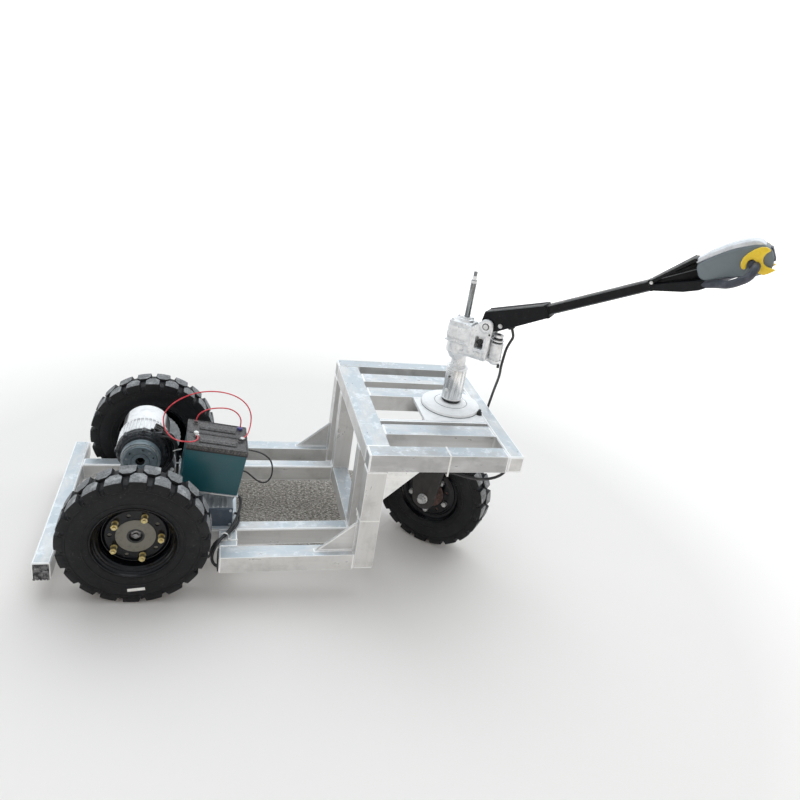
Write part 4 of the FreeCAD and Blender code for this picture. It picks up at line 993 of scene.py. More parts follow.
for side in (1, -1):
    middle, inside = side * (OUTER_FACE - HALF_TUBE), side * (OUTER_FACE - 6.4)
    outer, inner, far = side * OUTER_INSIDE, side * INNER_FACE, side * INNER_INSIDE
    for face in (-3.6, 3.6):
        lay((519, middle + face, RAIL), (638, middle + face, RAIL))
        lay((638.6, middle + face, RAIL), (638.6, middle + face, 246))
    for span in ((OUTER_FACE - 3, OUTER_FACE - 21), (OUTER_FACE - 33, OUTER_INSIDE + 2)):
        lay((639, side * span[0], RAIL), (639, side * span[1], RAIL))
    lay((639, inner, RAIL), (639, far, RAIL))
    lay((702, inside, DECK_UNDER), (797, inside, DECK_UNDER), 2.8)
    lay((700, inside, DECK_UNDER), (700, inside, 348), 2.8)
    for x in (232, 285):
        lay((x, outer, 89), (x, outer, 141), 2.6)
    for y in (inner, outer):
        lay((233, y, RAIL), (284, y, RAIL), 2.2)
    lay((-219.5, side * (INNER_INSIDE + 1), 134.2), (-219.5, side * (INNER_FACE - 1), 134.2), 3.6)
    for y in (far, inner):
        lay((-219.6, y, 82), (-219.6, y, 132))
    lay((640, far, RAIL), (692, far, RAIL), 2.6)
    lay((639, far, 89), (639, far, 141), 2.8)
    for y in (inner, far):
        lay((640, y, DECK_UNDER), (699, y, DECK_UNDER), 2.8)
print("weld beads:", len(beads))
assembled("weld_beads", beads, "chassis", "frame_aluminium", bead_metal, angle=60, place=PLATFORM)

# %% [markdown]
# In the corners of the deck's openings the welds are ground to a round fillet that stops
# just under the top. Here each one is a curved triangle between two faces and an arc.

# %% Corner fillets of the deck openings
def corner_fillet(x, y, towards_x, towards_y, radius=9.0, low=DECK_UNDER + 1, high=DECK - 1.6):
    """The concave round in an inner corner; towards_x and towards_y point into the opening."""
    centre = (x + towards_x * radius, y + towards_y * radius)
    blank = block("fillet", (min(x, centre[0]), min(y, centre[1]), low),
                  (max(x, centre[0]), max(y, centre[1]), high))
    return carved(blank, drum("round", "Z", (*centre, low - 2), radius, high - low + 4, 40))


OPENINGS = [(-294.3, -219.0), (-153.0, -132.0), (-117.0, 51.0), (117.0, 166.0), (232.0, 294.3)]
fillets = []
for low, high in OPENINGS:
    wide = high - low > 30
    for x, into in ((711, 1), (1081, -1)):
        if (low, x) == (-117.0, 1081):
            continue
        for y, up in ((low, 1), (high, -1)):
            fillets.append(corner_fillet(x, y, into, up, 9.0 if wide else 5.0))
for y, up in ((-117.0, 1), (51.0, -1)):
    fillets.append(corner_fillet(866, y, -1, up, 9.0, DECK - 11.5, DECK - 1.2))
assembled("deck_fillets", fillets, "chassis", "frame_aluminium", mill_z, angle=40, place=PLATFORM)

# %% [markdown]
# The rear beam is closed by rough plates, hammered in and marked from cutting; their dark
# grey is painted shade on the end faces. The outer rails and the front ends of the deck have
# ribbed plastic plugs.

# %% Tube ends
ends = []
for side in (1, -1):
    plate = block("end_plate", (-266, 338, 78.5), (-224, 341.6, 129.5), 1.4)
    spot = [block("burr", (-266 + 9 * k, 338.5, 75.6 + 0.8 * (k % 2)),
                  (-259 + 9 * k, 342.4, 79.5 + 1.6 * (k % 3)), 1.0) for k in range(5)]
    piece = joined("end_plate", [plate] + spot)
    if side < 0:
        piece.data.transform(shift(-0.490, 0, 0) @ turn(180, "Z"))
    ends.append(piece)
assembled("beam_end_plates", ends, "chassis", "frame_aluminium", cut_and_shaded_end, angle=40,
          place=PLATFORM)
plugs = []
for side in (1, -1):
    middle = side * (OUTER_FACE - HALF_TUBE)
    plugs.append(block("plug", (227.6, middle - 24.5, 90), (231.6, middle + 24.5, 139), 1.8))
    for z in (98, 106, 114.5, 123, 131):
        plugs.append(block("rib", (226.6, middle - 20, z - 1), (228.4, middle + 20, z + 1), 0.5))
assembled("rail_end_plugs", plugs, "chassis", "frame_aluminium", black_plastic, angle=40,
          place=PLATFORM)


# %% [markdown]
# Nylon ties hold the cable: one round the deck's side rail, one round the post with a long
# tail, one at the cross stub and one on the motor's cables.

# %% Cable ties
def band(name, low, high, axis, wide=5.6, thick=1.5):
    """A strap round a box between two corners; it lies across an axis."""
    number = "XYZ".index(axis)
    out_low = [c - thick for c in low]
    out_high = [c + thick for c in high]
    middle = (low[number] + high[number]) / 2
    out_low[number], out_high[number] = middle - wide / 2, middle + wide / 2
    in_low, in_high = list(low), list(high)
    in_low[number], in_high[number] = middle - wide, middle + wide
    strap = block(name, out_low, out_high, 0.6)
    return carved(strap, block("inside", in_low, in_high))


ties = [
    band("tie", (886, -OUTER_FACE, 430.6), (891, -OUTER_INSIDE, DECK), "X"),
    block("head", (884.4, -300, 426), (892.6, -292, 430.6), 1.0),
    band("tie", (639, -OUTER_FACE, 266), (700, -283.2, 270), "Z"),
    block("head", (633, -336, 264), (638.2, -328, 272.5), 1.0),
    ribbon("tail", [(635, -332, 271), (631, -331, 281), (630.5, -330, 292)], 4.6, 1.3),
    band("tie", (231, -266, 87), (286, -262, 142), "Y"),
    block("head", (258, -268, 143), (267, -260, 148.5), 1.0),
    ribbon("tail", [(264, -264, 147), (268, -264, 157), (268, -265, 168)], 4.6, 1.3),
]
loop = drum("cable_loop", "Y", (246, -265, 156.5), 12.5, 5.0, 36, 0.5)
carved(loop, drum("inside", "Y", (246, -270, 156.5), 11.2, 16, 36))
ties.append(loop)
bundle = block("tie_bundle", (91.0, -70, 294), (105.0, -30, 299), 1.2)
carved(bundle, block("inside", (92.2, -68.8, 290), (103.6, -31.2, 303)))
ties.append(bundle)
ties.append(ribbon("tail", [(84, -72, 341), (94, -75, 347), (108, -80, 353)], 3.2, 1.6))
assembled("cable_ties", ties, "chassis", "frame_aluminium", tie_nylon, angle=40, place=PLATFORM)

# %% [markdown]
# A black bolt stands in the deck beside the turntable, with its end above the nut.

# %% Black bolt beside the turntable
black_bolt = [drum("washer", "Z", (1073, -66, DECK), 10.5, 1.6, 32, 0.4),
              drum("nut", "Z", (1073, -66, DECK + 1.6), 9.0, 8.0, 6, 0.6),
              drum("end", "Z", (1073, -66, DECK + 9), 5.0, 9.0, 24, 0.7)]
assembled("turntable_bolt", black_bolt, "chassis", "frame_aluminium", black_plastic,
          place=PLATFORM)

# %% [markdown]
# ## Steering
# A white turntable flange carries the steering column. Above it stand a clamp sleeve and
# the hydraulic pump of a pallet truck: a casting in silver paint with a lifting rod, two
# ears for the tiller and a plunger in front.

# %% Steering finishes
flange_paint = Finish("flange_paint", (0.90, 0.905, 0.91), 0.38)
flange_paint.clouds((0.74, 0.745, 0.75), 40, 0.5, 0.72, 0, 0.6, detail=6)
flange_paint.bumps(260, 0.0002)
pump_paint = Finish("pump_paint", (0.86, 0.87, 0.88), 0.30, 0.5)
pump_paint.clouds((0.54, 0.55, 0.56), 45, 0.46, 0.68, 0, 0.6, detail=7, roughness=0.66)
pump_paint.clouds((0.34, 0.35, 0.36), 120, 0.60, 0.74, 0, 0.45, detail=5)
pump_paint.polish(90, 0.26, 0.48)
pump_paint.bumps(330, 0.0005, detail=4)
pump_paint.bumps(70, 0.0012, 0.5, detail=3)
sleeve_metal = Finish("sleeve_metal", (0.88, 0.885, 0.89), 0.26, 0.75)
sleeve_metal.clouds((0.36, 0.37, 0.38), 95, 0.42, 0.62, 0, 0.8, stretch=(1, 1, 0.07), detail=5)
sleeve_metal.clouds((0.86, 0.87, 0.88), 60, 0.56, 0.7, 0, 0.6, detail=6)
sleeve_metal.bumps(150, 0.0004, stretch=(1, 1, 0.2))
ram_steel = Finish("ram_steel", (0.33, 0.35, 0.36), 0.26, 0.9)
ram_steel.clouds((0.14, 0.15, 0.16), 220, 0.4, 0.7, stretch=(1, 1, 0.05))
ram_steel.bumps(700, 0.0001, stretch=(1, 1, 0.2))
fork_enamel = Finish("fork_enamel", (0.036, 0.034, 0.033), 0.46, 0.1)
fork_enamel.clouds((0.058, 0.052, 0.048), 35, 0.5, 0.75, detail=6)
fork_enamel.bumps(260, 0.0003)

dress("turntable_plate", flange_paint, 1.6)
dress("column_seal", black_plastic, 1.4)
dress("steering_column", dull_steel)
for name in ("fork_crown", "fork_legs"):
    dress(name, fork_enamel, 1.8)
dress("front_axle", bright_zinc, 0.9)
dress("ram_rod", ram_steel, 1.0)
dress("steering_sleeve", sleeve_metal, 1.6, 3)

# %% [markdown]
# The flange is turned on a lathe, in steps that rise to the bearing tube. Its section is
# drawn once and spun about the axis, because that gives every step a clean edge. Thin dark
# rings lie in the steps as grooves.

# %% Turntable flange
flange_outline = [
    (27.3, 432), (40, 432), (40, 498.4), (43, 499.7), (99.6, 499.7), (101.0, 501.0),
    (101.0, 507.6), (99.2, 510.2), (95.6, 510.8), (92.4, 510.4), (91.4, 511.6), (88.2, 512.6),
    (78, 513.8), (66, 514.6), (58.6, 514.8), (57.4, 513.8), (55.4, 513.9), (53.8, 515.8),
    (49.2, 516.6), (47.2, 518.6), (44.6, 519.6), (35.4, 519.6), (33.8, 518.2), (27.3, 518.2)]
flange = smooth(lathe("turntable_flange_cast", flange_outline, 128), 30)
fit_out(flange, "chassis", "pump_paint", flange_paint,
        place=TURNTABLE @ turn(90, "X"), stands_for=("turntable_flange",))
grooves = [lathe("groove", [(r, z), (r + 1.4, z), (r + 1.3, z + 0.7), (r + 0.1, z + 0.7)], 96)
           for r, z in ((90.2, 510.8), (55.6, 513.7), (46.6, 517.0))]
grooves.append(lathe("under_edge", [(99, 498.8), (101.6, 499.8), (101.8, 502.0), (99, 502.2)], 96))
assembled("flange_grooves", grooves, "chassis", "pump_paint", ram_steel,
          place=TURNTABLE @ turn(90, "X"))

# %% [markdown]
# The pump is one casting. Rough blocks and drums make its shape, and a voxel remesh with a
# little smoothing melts them together as sand casting does. The crisp machined parts, such
# as plugs, bolts and rings, are set on it afterwards.

# %% Pump casting
PIVOT_OUT, PIVOT_UP = 83.0, 823.7
rough = [
    drum("neck", "Z", (0, 0, 648), 24.8, 48, 48),
    drum("foot_ring", "Z", (0, 0, 648), 29.5, 7, 48, 2.0),
    drum("taper", "Z", (-9, 0, 679), 26, 25, 48, 0, end_radius=38.6),
    drum("lower_barrel", "Z", (-12, 0, 700), 38.6, 48, 64),
    rounded(block("upper_barrel", (-51, -38.5, 742), (33, 38.5, 806)), 0.015, 4),
    rounded(block("parting_ridge", (-52, -39.6, 740.5), (34, 39.6, 745.5)), 0.002, 2),
    rounded(block("shoulder", (-47, -35, 802), (30, 35, 811.6)), 0.004, 2),
    drum("cap", "Z", (0, 0, 808), 26, 13, 48, 2.5),
    block("floor_block", (0, -37, 704), (100, 37, 719), 5),
    block("web", (0, -27, 706), (100, 27, 781), 5),
    block("bridge", (92, -20, 704), (128, 20, 714), 4),
    drum("plunger_foot", "Z", (121, 0, 702), 22.5, 14, 48, 3.0),
    drum("plunger_base", "Z", (123, -4, 697), 15, 8, 36, 3.0),
]
EAR = [(20, 712), (101, 712), (103.5, 770), (107, 822), (103, 838), (95, 845), (83, 847.7),
       (72, 845), (62, 836), (50, 822), (24, 800)]
for side in (1, -1):
    low, high = sorted((27 * side, 38 * side))
    rough.append(slab("ear", EAR, low, high, 2.4, 2))
    rough.append(drum("ear_boss", "Y", (PIVOT_OUT, 27 if side > 0 else -40.5, PIVOT_UP), 21.5,
                      13.5, 48, 2.5))
    low, high = sorted((30 * side, 41.5 * side))
    rough.append(block("rib", (91, low, 716), (97, high, 792), 2))
    rough.append(block("rib", (36, low, 722), (42, high, 800), 2))
    rough.append(block("sill", (54, low, 733), (92, high, 739), 2))
casting = joined("pump_casting", rough)
modify(casting, "REMESH", mode="VOXEL", voxel_size=1.8 * MM)
for side in (1, -1):
    low, high = sorted((11 * side, 60 * side))
    carved(casting, block("window", (55, low, 743), (84, high, 785), 4))
carved(casting, drum("pin_bore", "Y", (PIVOT_OUT, -60, PIVOT_UP), 8.4, 120, 40),
       drum("plunger_bore", "Z", (121, 0, 713), 20.2, 90, 48))
modify(casting, "REMESH", mode="VOXEL", voxel_size=1.7 * MM, use_smooth_shade=True)
modify(casting, "SMOOTH", factor=0.5, iterations=2)
print("pump casting triangles:", sum(len(p.vertices) - 2 for p in casting.data.polygons))
fit_out(casting, "steering", "pump_paint", pump_paint, place=STEERING, stands_for=("pump_body",))

# %% [markdown]
# Bolts, plugs and rings are turned or forged, so they stay crisp beside the casting. One
# helper makes a hexagon head with a domed end and a washer, facing either way along an axis.
# The bright parts share the pump's paint; pins and springs are dark, and black drums in the
# holes and in the casting's windows are painted shade.

# %% Machined parts of the pump
def bolt(name, axis, base, across, height, washer=0.0, outward=1):
    """A hexagon head on a washer; base is the seat and outward is the sign of its axis."""
    number = "XYZ".index(axis)

    def at(rise):
        point = list(base)
        point[number] += outward * rise
        return point

    def disc(part, start, radius, long, sides, rounding):
        lower = at(start) if outward > 0 else at(start + long)
        return drum(part, axis, lower, radius, long, sides, rounding)

    parts = [disc("head", 0, across / math.sqrt(3), height, 6, height * 0.1),
             disc("dome", height - 0.3, across * 0.40, 1.0, 24, 0.3)]
    if washer:
        parts.append(disc("washer", 0, washer, 1.6, 32, 0.4))
    return joined(name, parts)


bright = [
    bolt("plug", "Y", (70, -40, 723), 15, 6.5, 9.4, -1),
    bolt("plug", "Y", (70, 40, 723), 15, 6.5, 9.4, 1),
    bolt("sleeve_bolt", "Y", (-10, -33.0, 631), 9.5, 6.5, 6.6, -1),
    bolt("sleeve_bolt", "Y", (-10, -33.0, 566), 9.5, 6.0, 6.2, -1),
    bolt("sleeve_bolt", "Y", (10, 33.0, 631), 9.5, 6.5, 6.6, 1),
    bolt("sleeve_bolt", "Y", (10, 33.0, 566), 9.5, 6.0, 6.2, 1),
    drum("sleeve_lip", "Z", (0, 0, 641.5), 36.4, 8.0, 64, 1.8),
    drum("sleeve_foot", "Z", (0, 0, 530.2), 35.8, 5.0, 64, 1.4),
    drum("ram_gland", "Z", (0, 0, 820.4), 15.5, 5.5, 40, 1.4),
    drum("ram_collar", "Z", (0, 0, 941), 11.4, 9.0, 40, 1.6),
    drum("ram_tip", "Z", (0, 0, 949), 7.0, 17.0, 32, 1.2),
    drum("ram_tip_ring", "Z", (0, 0, 961), 8.2, 3.0, 32, 0.8),
]
cap_bolts = bolt("cap_bolt", "Z", (20.5, 0, 820.6), 7, 4.0, 0, 1)
bright.append(round_about("cap_bolts", cap_bolts, 4, "Z", first=30))
for y in (27, -27):
    bright.append(bolt("corner_bolt", "Z", (-38, y, 811), 8, 4.5, 5.6, 1))
for start in (-41.8, 38.6):
    bright.append(drum("pin_head", "Y", (PIVOT_OUT, start, PIVOT_UP), 8.8, 3.2, 40, 0.8))
assembled("pump_fittings", bright, "steering", "pump_paint", pump_paint, place=STEERING)
dark = [
    drum("pin_groove", "Y", (PIVOT_OUT, -41.0, PIVOT_UP), 11.6, 1.2, 40, 0.3),
    drum("pin_groove", "Y", (PIVOT_OUT, 39.8, PIVOT_UP), 11.6, 1.2, 40, 0.3),
    # Painted shade: black discs stand in for the bleed hole here and the cross hole in the ram's
    # tip below.
    drum("bleed_hole", "Y", (-8, -39.8, 617), 2.6, 8, 20),
    drum("ear_screw", "Y", (100, -40.2, 800), 3.4, 3, 20, 0.5),
    drum("ear_screw", "Y", (100, 37.2, 800), 3.4, 3, 20, 0.5),
    drum("bleed_nipple", "Z", (141, -8, 690), 4.6, 12, 24, 1.0),
    # Painted shade: a black drum and two bars fill the windows of the casting.
    drum("window_shade_drum", "Y", (66, -24, 760), 9, 48, 32, 1.5),
    block("window_shade_bar", (62, -22, 745), (81, -14, 752), 1.5),
    block("window_shade_bar", (62, 14, 745), (81, 22, 752), 1.5),
    drum("spring", "Z", (121, 0, 772), 16.4, 5.0, 40, 0.8),
    drum("spring", "Z", (121, 0, 783), 15.0, 6.0, 40, 0.8),
    drum("eye", "Z", (121, 0, 799.4), 6.5, 1.6, 28, 0.3),
    drum("tip_hole", "Y", (0, -6.5, 966), 2.4, 13, 16),
]
assembled("pump_dark_parts_and_shade", dark, "steering", "seal_rubber", black_plastic, place=STEERING)
plunger = [
    drum("barrel", "Z", (121, 0, 713.6), 19.9, 58, 64, 1.2),
    drum("lip", "Z", (121, 0, 764), 21.0, 7, 64, 1.4),
    drum("lip", "Z", (121, 0, 720), 21.0, 4, 64, 1.0),
    drum("plate", "Z", (121, 0, 777), 19.6, 6, 64, 1.6),
    drum("knob", "Z", (121, 0, 789), 15.4, 11, 48, 3.0),
]
assembled("plunger_cylinder", plunger, "steering", "pump_paint", pump_paint, place=STEERING,
          stands_for=("pump_cylinder",))
dress("tiller_pin", bright_zinc, 1.0)

# %% [markdown]
# A washer, a nut, a collar and a pin hold each end of the front axle. The two ends mirror
# each other, so one loop makes both.

# %% Front axle washers and nuts
axle_bits = []
for side in (1, -1):
    def place_of(low, long):
        return (0, low if side > 0 else -low - long, 0)

    axle_bits.append(drum("washer", "Y", place_of(90, 3.0), 19, 3.0, 40, 0.6))
    axle_bits.append(hex_nut("nut", "Y", place_of(93, 11.5), 27, 11.5))
    axle_bits.append(drum("collar", "Y", place_of(104, 3.0), 10.6, 3.0, 32, 0.8))
    axle_bits.append(drum("tip", "Y", place_of(106, 3.2), 5.4, 3.2, 24, 0.8))
    axle_bits.append(drum("lock_pin", "X", (-15, (106 if side > 0 else -106), 0), 1.5, 30, 12))
assembled("front_axle_washers", axle_bits, "steering", "axle_steel", bright_zinc,
          place=FRONT_AXLE)

# %% [markdown]
# ## Tiller
# A black steel arm is pinned between the ears of the pump. A forked bracket widens from
# its end to the moulded head, and its lower bars run on as the grip loops. A yellow thumb
# lever sits on each side of the head.

# %% Tiller finishes
tiller_paint = Finish("tiller_paint", (0.0065, 0.0072, 0.0085), 0.36)
tiller_paint.shader.inputs["Specular IOR Level"].default_value = 0.16
tiller_paint.clouds((0.014, 0.015, 0.017), 50, 0.5, 0.78, 0, 0.6, detail=6)
tiller_paint.clouds((0.10, 0.10, 0.10), 240, 0.68, 0.74, 0, 0.5)
tiller_paint.polish(35, 0.28, 0.46, detail=4)
tiller_paint.bumps(420, 0.00025)
# Painted highlight: a lighter grey on the bevels, rims and edge strips of the black arm and
# bracket.
tiller_edge_highlight = Finish("tiller_edge_highlight", (0.11, 0.12, 0.125), 0.32)
tiller_edge_highlight.clouds((0.07, 0.075, 0.08), 60, 0.45, 0.7, detail=5)
head_grey = Finish("head_grey", (0.165, 0.20, 0.22), 0.44)
head_grey.clouds((0.13, 0.16, 0.178), 25, 0.45, 0.75, 0, 0.6, detail=5)
head_grey.bumps(900, 0.00015)
# The crest's light grey is its plastic's own tone, raised further as a painted highlight on the
# top.
crest_light_and_highlight = Finish("crest_light_and_highlight", (0.76, 0.79, 0.83), 0.32)
crest_light_and_highlight.clouds((0.55, 0.58, 0.61), 40, 0.45, 0.7, detail=4)
crest_light_and_highlight.bumps(900, 0.00012)
grip_rubber = Finish("grip_rubber", (0.040, 0.046, 0.062), 0.5)
grip_rubber.clouds((0.07, 0.078, 0.10), 60, 0.45, 0.7, detail=4)
grip_rubber.bumps(700, 0.0002)
lever_yellow = Finish("lever_yellow", (0.88, 0.62, 0.035), 0.34)
lever_yellow.clouds((0.78, 0.50, 0.02), 70, 0.5, 0.75, detail=4)
lever_yellow.bumps(800, 0.0001)

dress("tiller_base", tiller_paint, 2.4, 3, edge=tiller_edge_highlight)
dress("tiller_tube", tiller_paint, 3.2, 3, edge=tiller_edge_highlight)
dress("handle_loops", grip_rubber)


def tapered(piece, start, end, near, far):
    """Scales a piece's half width from near to far between two distances, in millimetres."""
    for corner in piece.data.vertices:
        part = min(1.0, max(0.0, (corner.co.x / MM - start) / (end - start)))
        corner.co.y *= near + (far - near) * part
    return piece


# %% [markdown]
# The arm has a raised rim along each side of its top, a collar where its plates end and
# another where the tube meets the fork. Bolts go in from both sides, and the control cable
# enters from below through a gland nut.

# %% Arm fittings
# The raised rims are lighter grey, a painted highlight along the top's edges.
rims = []
for side in (1, -1):
    low, high = sorted((21.5 * side, 25.2 * side))
    rims.append(slab("top_rim", [(8, 44), (8, 48.2), (205, 21.2), (205, 17)], low, high, 0.8))
assembled("arm_rims", rims, "tiller", "tiller_paint", tiller_edge_highlight, place=TILLER)
collars = [block("end_collar", (198, -25.6, -22.4), (207, 25.6, 20.8), 1.6),
           block("tube_collar", (514, -19.4, -15.4), (530, 19.4, 17.4), 2.0)]
assembled("arm_collars", collars, "tiller", "tiller_paint", tiller_paint, place=TILLER)
fittings = [bolt("bolt", "Y", (42, -25, -11), 11, 6, 7.5, -1),
            bolt("bolt", "Y", (42, 25, -11), 11, 6, 7.5, 1),
            bolt("bolt", "Y", (523, -20, 9), 7, 3.5, 5, -1),
            bolt("bolt", "Y", (523, 20, 9), 7, 3.5, 5, 1)]
assembled("arm_bolts", fittings, "tiller", "axle_steel", bright_zinc, place=TILLER)
gland = [hex_nut("gland_nut", "Z", (68, 0, -31.4), 20, 6),
         drum("gland_ring", "Z", (68, 0, -26), 11, 2.4)]
assembled("cable_gland", gland, "tiller", "tiller_paint", black_plastic, place=TILLER)

# %% [markdown]
# The bracket is welded from bars, narrow at the tube and wide at the head. Each bar is an
# outline seen from the side, extruded to its width. Its corners are then moved to taper it,
# which keeps the edges straight.

# %% Forked bracket
upper = slab("upper_bar", [(520, 3), (520, 16), (600, 35), (650, 47), (658, 45), (658, 38),
                           (640, 35), (560, 16)], -34, 34, 1.8)
tapered(upper, 522, 650, 0.55, 1.0)
lower = []
for side in (1, -1):
    low, high = sorted((9 * side, 36 * side))
    lower.append(slab("lower_bar", [(520, -15), (520, 4), (560, 0), (640, -13), (662, -16),
                                    (662, -40), (642, -42), (600, -37), (560, -26)],
                      low, high, 4.5, 3))
for bar in lower:
    tapered(bar, 522, 648, 0.5, 1.0)
web = slab("web", [(524, 10), (652, 40), (652, -24), (524, -8)], -4, 4, 0.8)
frames = [slab("inner_frame", [(536, 12), (536, 15), (654, 30), (654, 26)], side * 16 - 3,
               side * 16 + 3, 0.6) for side in (1, -1)]
assembled("head_fork", [upper, web] + lower + frames, "tiller", "tiller_paint", tiller_paint,
          place=TILLER, stands_for=("head_bracket",))
# Light strips on the bracket's edges are a painted highlight.
strips = [ribbon("strip", [(553, side * 19, 14), (648, side * 22, 15.5)], 2.4, 2.0)
          for side in (1, -1)]
strips += [ribbon("strip", [(523, side * 19, 16.6), (650, side * 33, 47.0)], 2.6, 1.8)
           for side in (1, -1)]
assembled("bracket_edges", strips, "tiller", "tiller_paint", tiller_edge_highlight, place=TILLER)

# %% [markdown]
# The head is moulded plastic: a grey shell, a light crest and dark trim; the crest's top is
# lightened further as a painted highlight. Each is a side outline with wide rounded edges. A
# sculpted surface would be rounder, but an outline keeps the shape exact where it shows most.

# %% Moulded head
shell = slab("head_shell", [
    (649, -4), (655, -14), (666, -21), (690, -23), (718, -24.5), (750, -31), (786, -38.5),
    (808, -38), (824, -33), (834, -22), (840, -4), (840, 12), (836, 26), (828, 35), (800, 43),
    (766, 46), (742, 46), (720, 44), (690, 39), (656, 31), (650, 22)], -41, 41, 8.0, 5, 25)
tapered(shell, 650, 720, 0.82, 1.0)
fit_out(smooth(shell, 40), "tiller", "head_plastic", head_grey, place=TILLER,
        stands_for=("tiller_head",))
crest = slab("head_crest", [
    (652, 32), (654, 41), (664, 45.5), (690, 51), (722, 55.5), (745, 57.5), (768, 58.5),
    (790, 57), (811, 53), (822, 45), (830, 33), (818, 37), (800, 42), (766, 45), (742, 45),
    (720, 43), (690, 38)], -37, 37, 4.0, 4, 25)
tapered(crest, 650, 720, 0.82, 1.0)
cushion = slab("head_cushion", [
    (668, 44), (690, 52.5), (722, 57.5), (745, 59.6), (768, 60.4), (790, 59), (806, 55),
    (800, 48), (766, 50), (722, 48)], -24, 24, 3.5, 3, 25)
assembled("head_crest", [crest, cushion], "tiller", "head_plastic", crest_light_and_highlight, angle=40,
          place=TILLER)
trim = [slab("groove", [(664, -19.5), (690, -21.2), (718, -22.5), (750, -28.5), (775, -34.2),
                        (775, -36.2), (750, -30.7), (718, -24.7), (690, -23.2), (664, -21.5)],
             side * 40.4 - 1.2, side * 40.4 + 1.2, 0.4) for side in (1, -1)]
trim.append(drum("pivot", "Y", (790, -53, -6), 13.5, 106, 40, 2.0))
trim.append(block("nose", (833, -22, -14), (842.5, 22, 24), 3.5))
assembled("head_trim", trim, "tiller", "head_plastic", grip_rubber, place=TILLER)

# %% [markdown]
# A thumb lever of yellow plastic curls round each side of the head. It is flat apart from
# its outline, so an outline with rounded edges is enough.

# %% Thumb levers
LEVER = [(836, 24), (830, 31), (818, 34.5), (801, 33), (784, 27.5), (770, 19.5), (762, 9.5),
         (758.6, 0), (760, -8), (765, -11.5), (770.5, -9.5), (772.5, -3), (776, 4), (782, 9),
         (789, 10.2), (795, 6), (798, -2), (797.4, -14), (794, -24), (796.5, -31), (807, -38),
         (819, -37.5), (838, -33), (829, -26), (819, -19), (813.5, -10), (813.5, 0),
         (818, 9), (826, 15.5), (837, 19)]
levers = []
for side in (1, -1):
    low, high = sorted((42 * side, 55 * side))
    levers.append(slab("thumb_lever", LEVER, low, high, 3.2, 3, 20))
    levers.append(drum("lever_hub", "Y", (806, min(39 * side, 57 * side), 22), 5.5, 18, 32, 1.5))
assembled("thumb_levers_moulded", levers, "tiller", "lever_plastic", lever_yellow, angle=40,
          place=TILLER, stands_for=("thumb_levers",))

# %% [markdown]
# ## Drive and electronics
# The motor lies across the platform in front of its gear case. Its near bell is black, its
# ribbed body and the axle are raw cast aluminium, and a round brake closes its near end.

# %% Drive finishes
cast_silver = Finish("cast_silver", (0.86, 0.865, 0.87), 0.42, 0.25)
cast_silver.clouds((0.66, 0.665, 0.67), 55, 0.48, 0.7, 0, 0.7, detail=6)
cast_silver.clouds((0.42, 0.42, 0.42), 190, 0.64, 0.74, 0, 0.6, detail=4)
cast_silver.bumps(420, 0.0005, detail=4)
bell_black = Finish("bell_black", (0.042, 0.047, 0.053), 0.36)
bell_black.clouds((0.012, 0.014, 0.016), 80, 0.46, 0.68, 0, 0.8, detail=6)
bell_black.clouds((0.16, 0.18, 0.20), 210, 0.62, 0.7, 0, 0.7, detail=4)
bell_black.polish(60, 0.24, 0.5, detail=4)
bell_black.bumps(300, 0.0006, detail=4)
brake_grey = Finish("brake_grey", (0.165, 0.21, 0.235), 0.4, 0.35)
brake_grey.clouds((0.10, 0.125, 0.14), 70, 0.46, 0.7, 0, 0.7, detail=5)
brake_grey.bumps(500, 0.0003)
brake_edge = Finish("brake_edge", (0.36, 0.40, 0.42), 0.3, 0.6)
brake_edge.clouds((0.20, 0.22, 0.235), 160, 0.45, 0.7)
teal_case = Finish("teal_case", (0.008, 0.084, 0.104), 0.42)
teal_case.clouds((0.020, 0.078, 0.096), 14, 0.46, 0.72, 0, 0.7, detail=6)
teal_case.clouds((0.06, 0.19, 0.21), 230, 0.66, 0.74, 0, 0.7, detail=4)
teal_case.polish(30, 0.28, 0.46, detail=4)
teal_case.bumps(400, 0.00015)
lid_grey = Finish("lid_grey", (0.095, 0.093, 0.092), 0.55)
lid_grey.clouds((0.035, 0.034, 0.036), 150, 0.46, 0.56, detail=6, roughness=0.75)
lid_grey.clouds((0.21, 0.195, 0.185), 260, 0.58, 0.68, detail=4)
lid_grey.bumps(300, 0.0007, detail=5)
boot_black = Finish("boot_black", (0.012, 0.012, 0.014), 0.4)
boot_black.bumps(500, 0.0001)
boot_blue = Finish("boot_blue", (0.085, 0.095, 0.30), 0.42)
boot_blue.bumps(500, 0.0001)
cover_blue = Finish("cover_blue", (0.085, 0.11, 0.145), 0.4, 0.2)
cover_blue.clouds((0.11, 0.135, 0.17), 50, 0.48, 0.72, detail=5)
cover_blue.bumps(600, 0.0002)
panel_metal = Finish("panel_metal", (0.60, 0.64, 0.67), 0.34, 0.6)
panel_metal.clouds((0.44, 0.48, 0.51), 90, 0.42, 0.66, stretch=(1, 0.05, 1), detail=5)
panel_metal.bumps(260, 0.0001, stretch=(1, 0.1, 1))

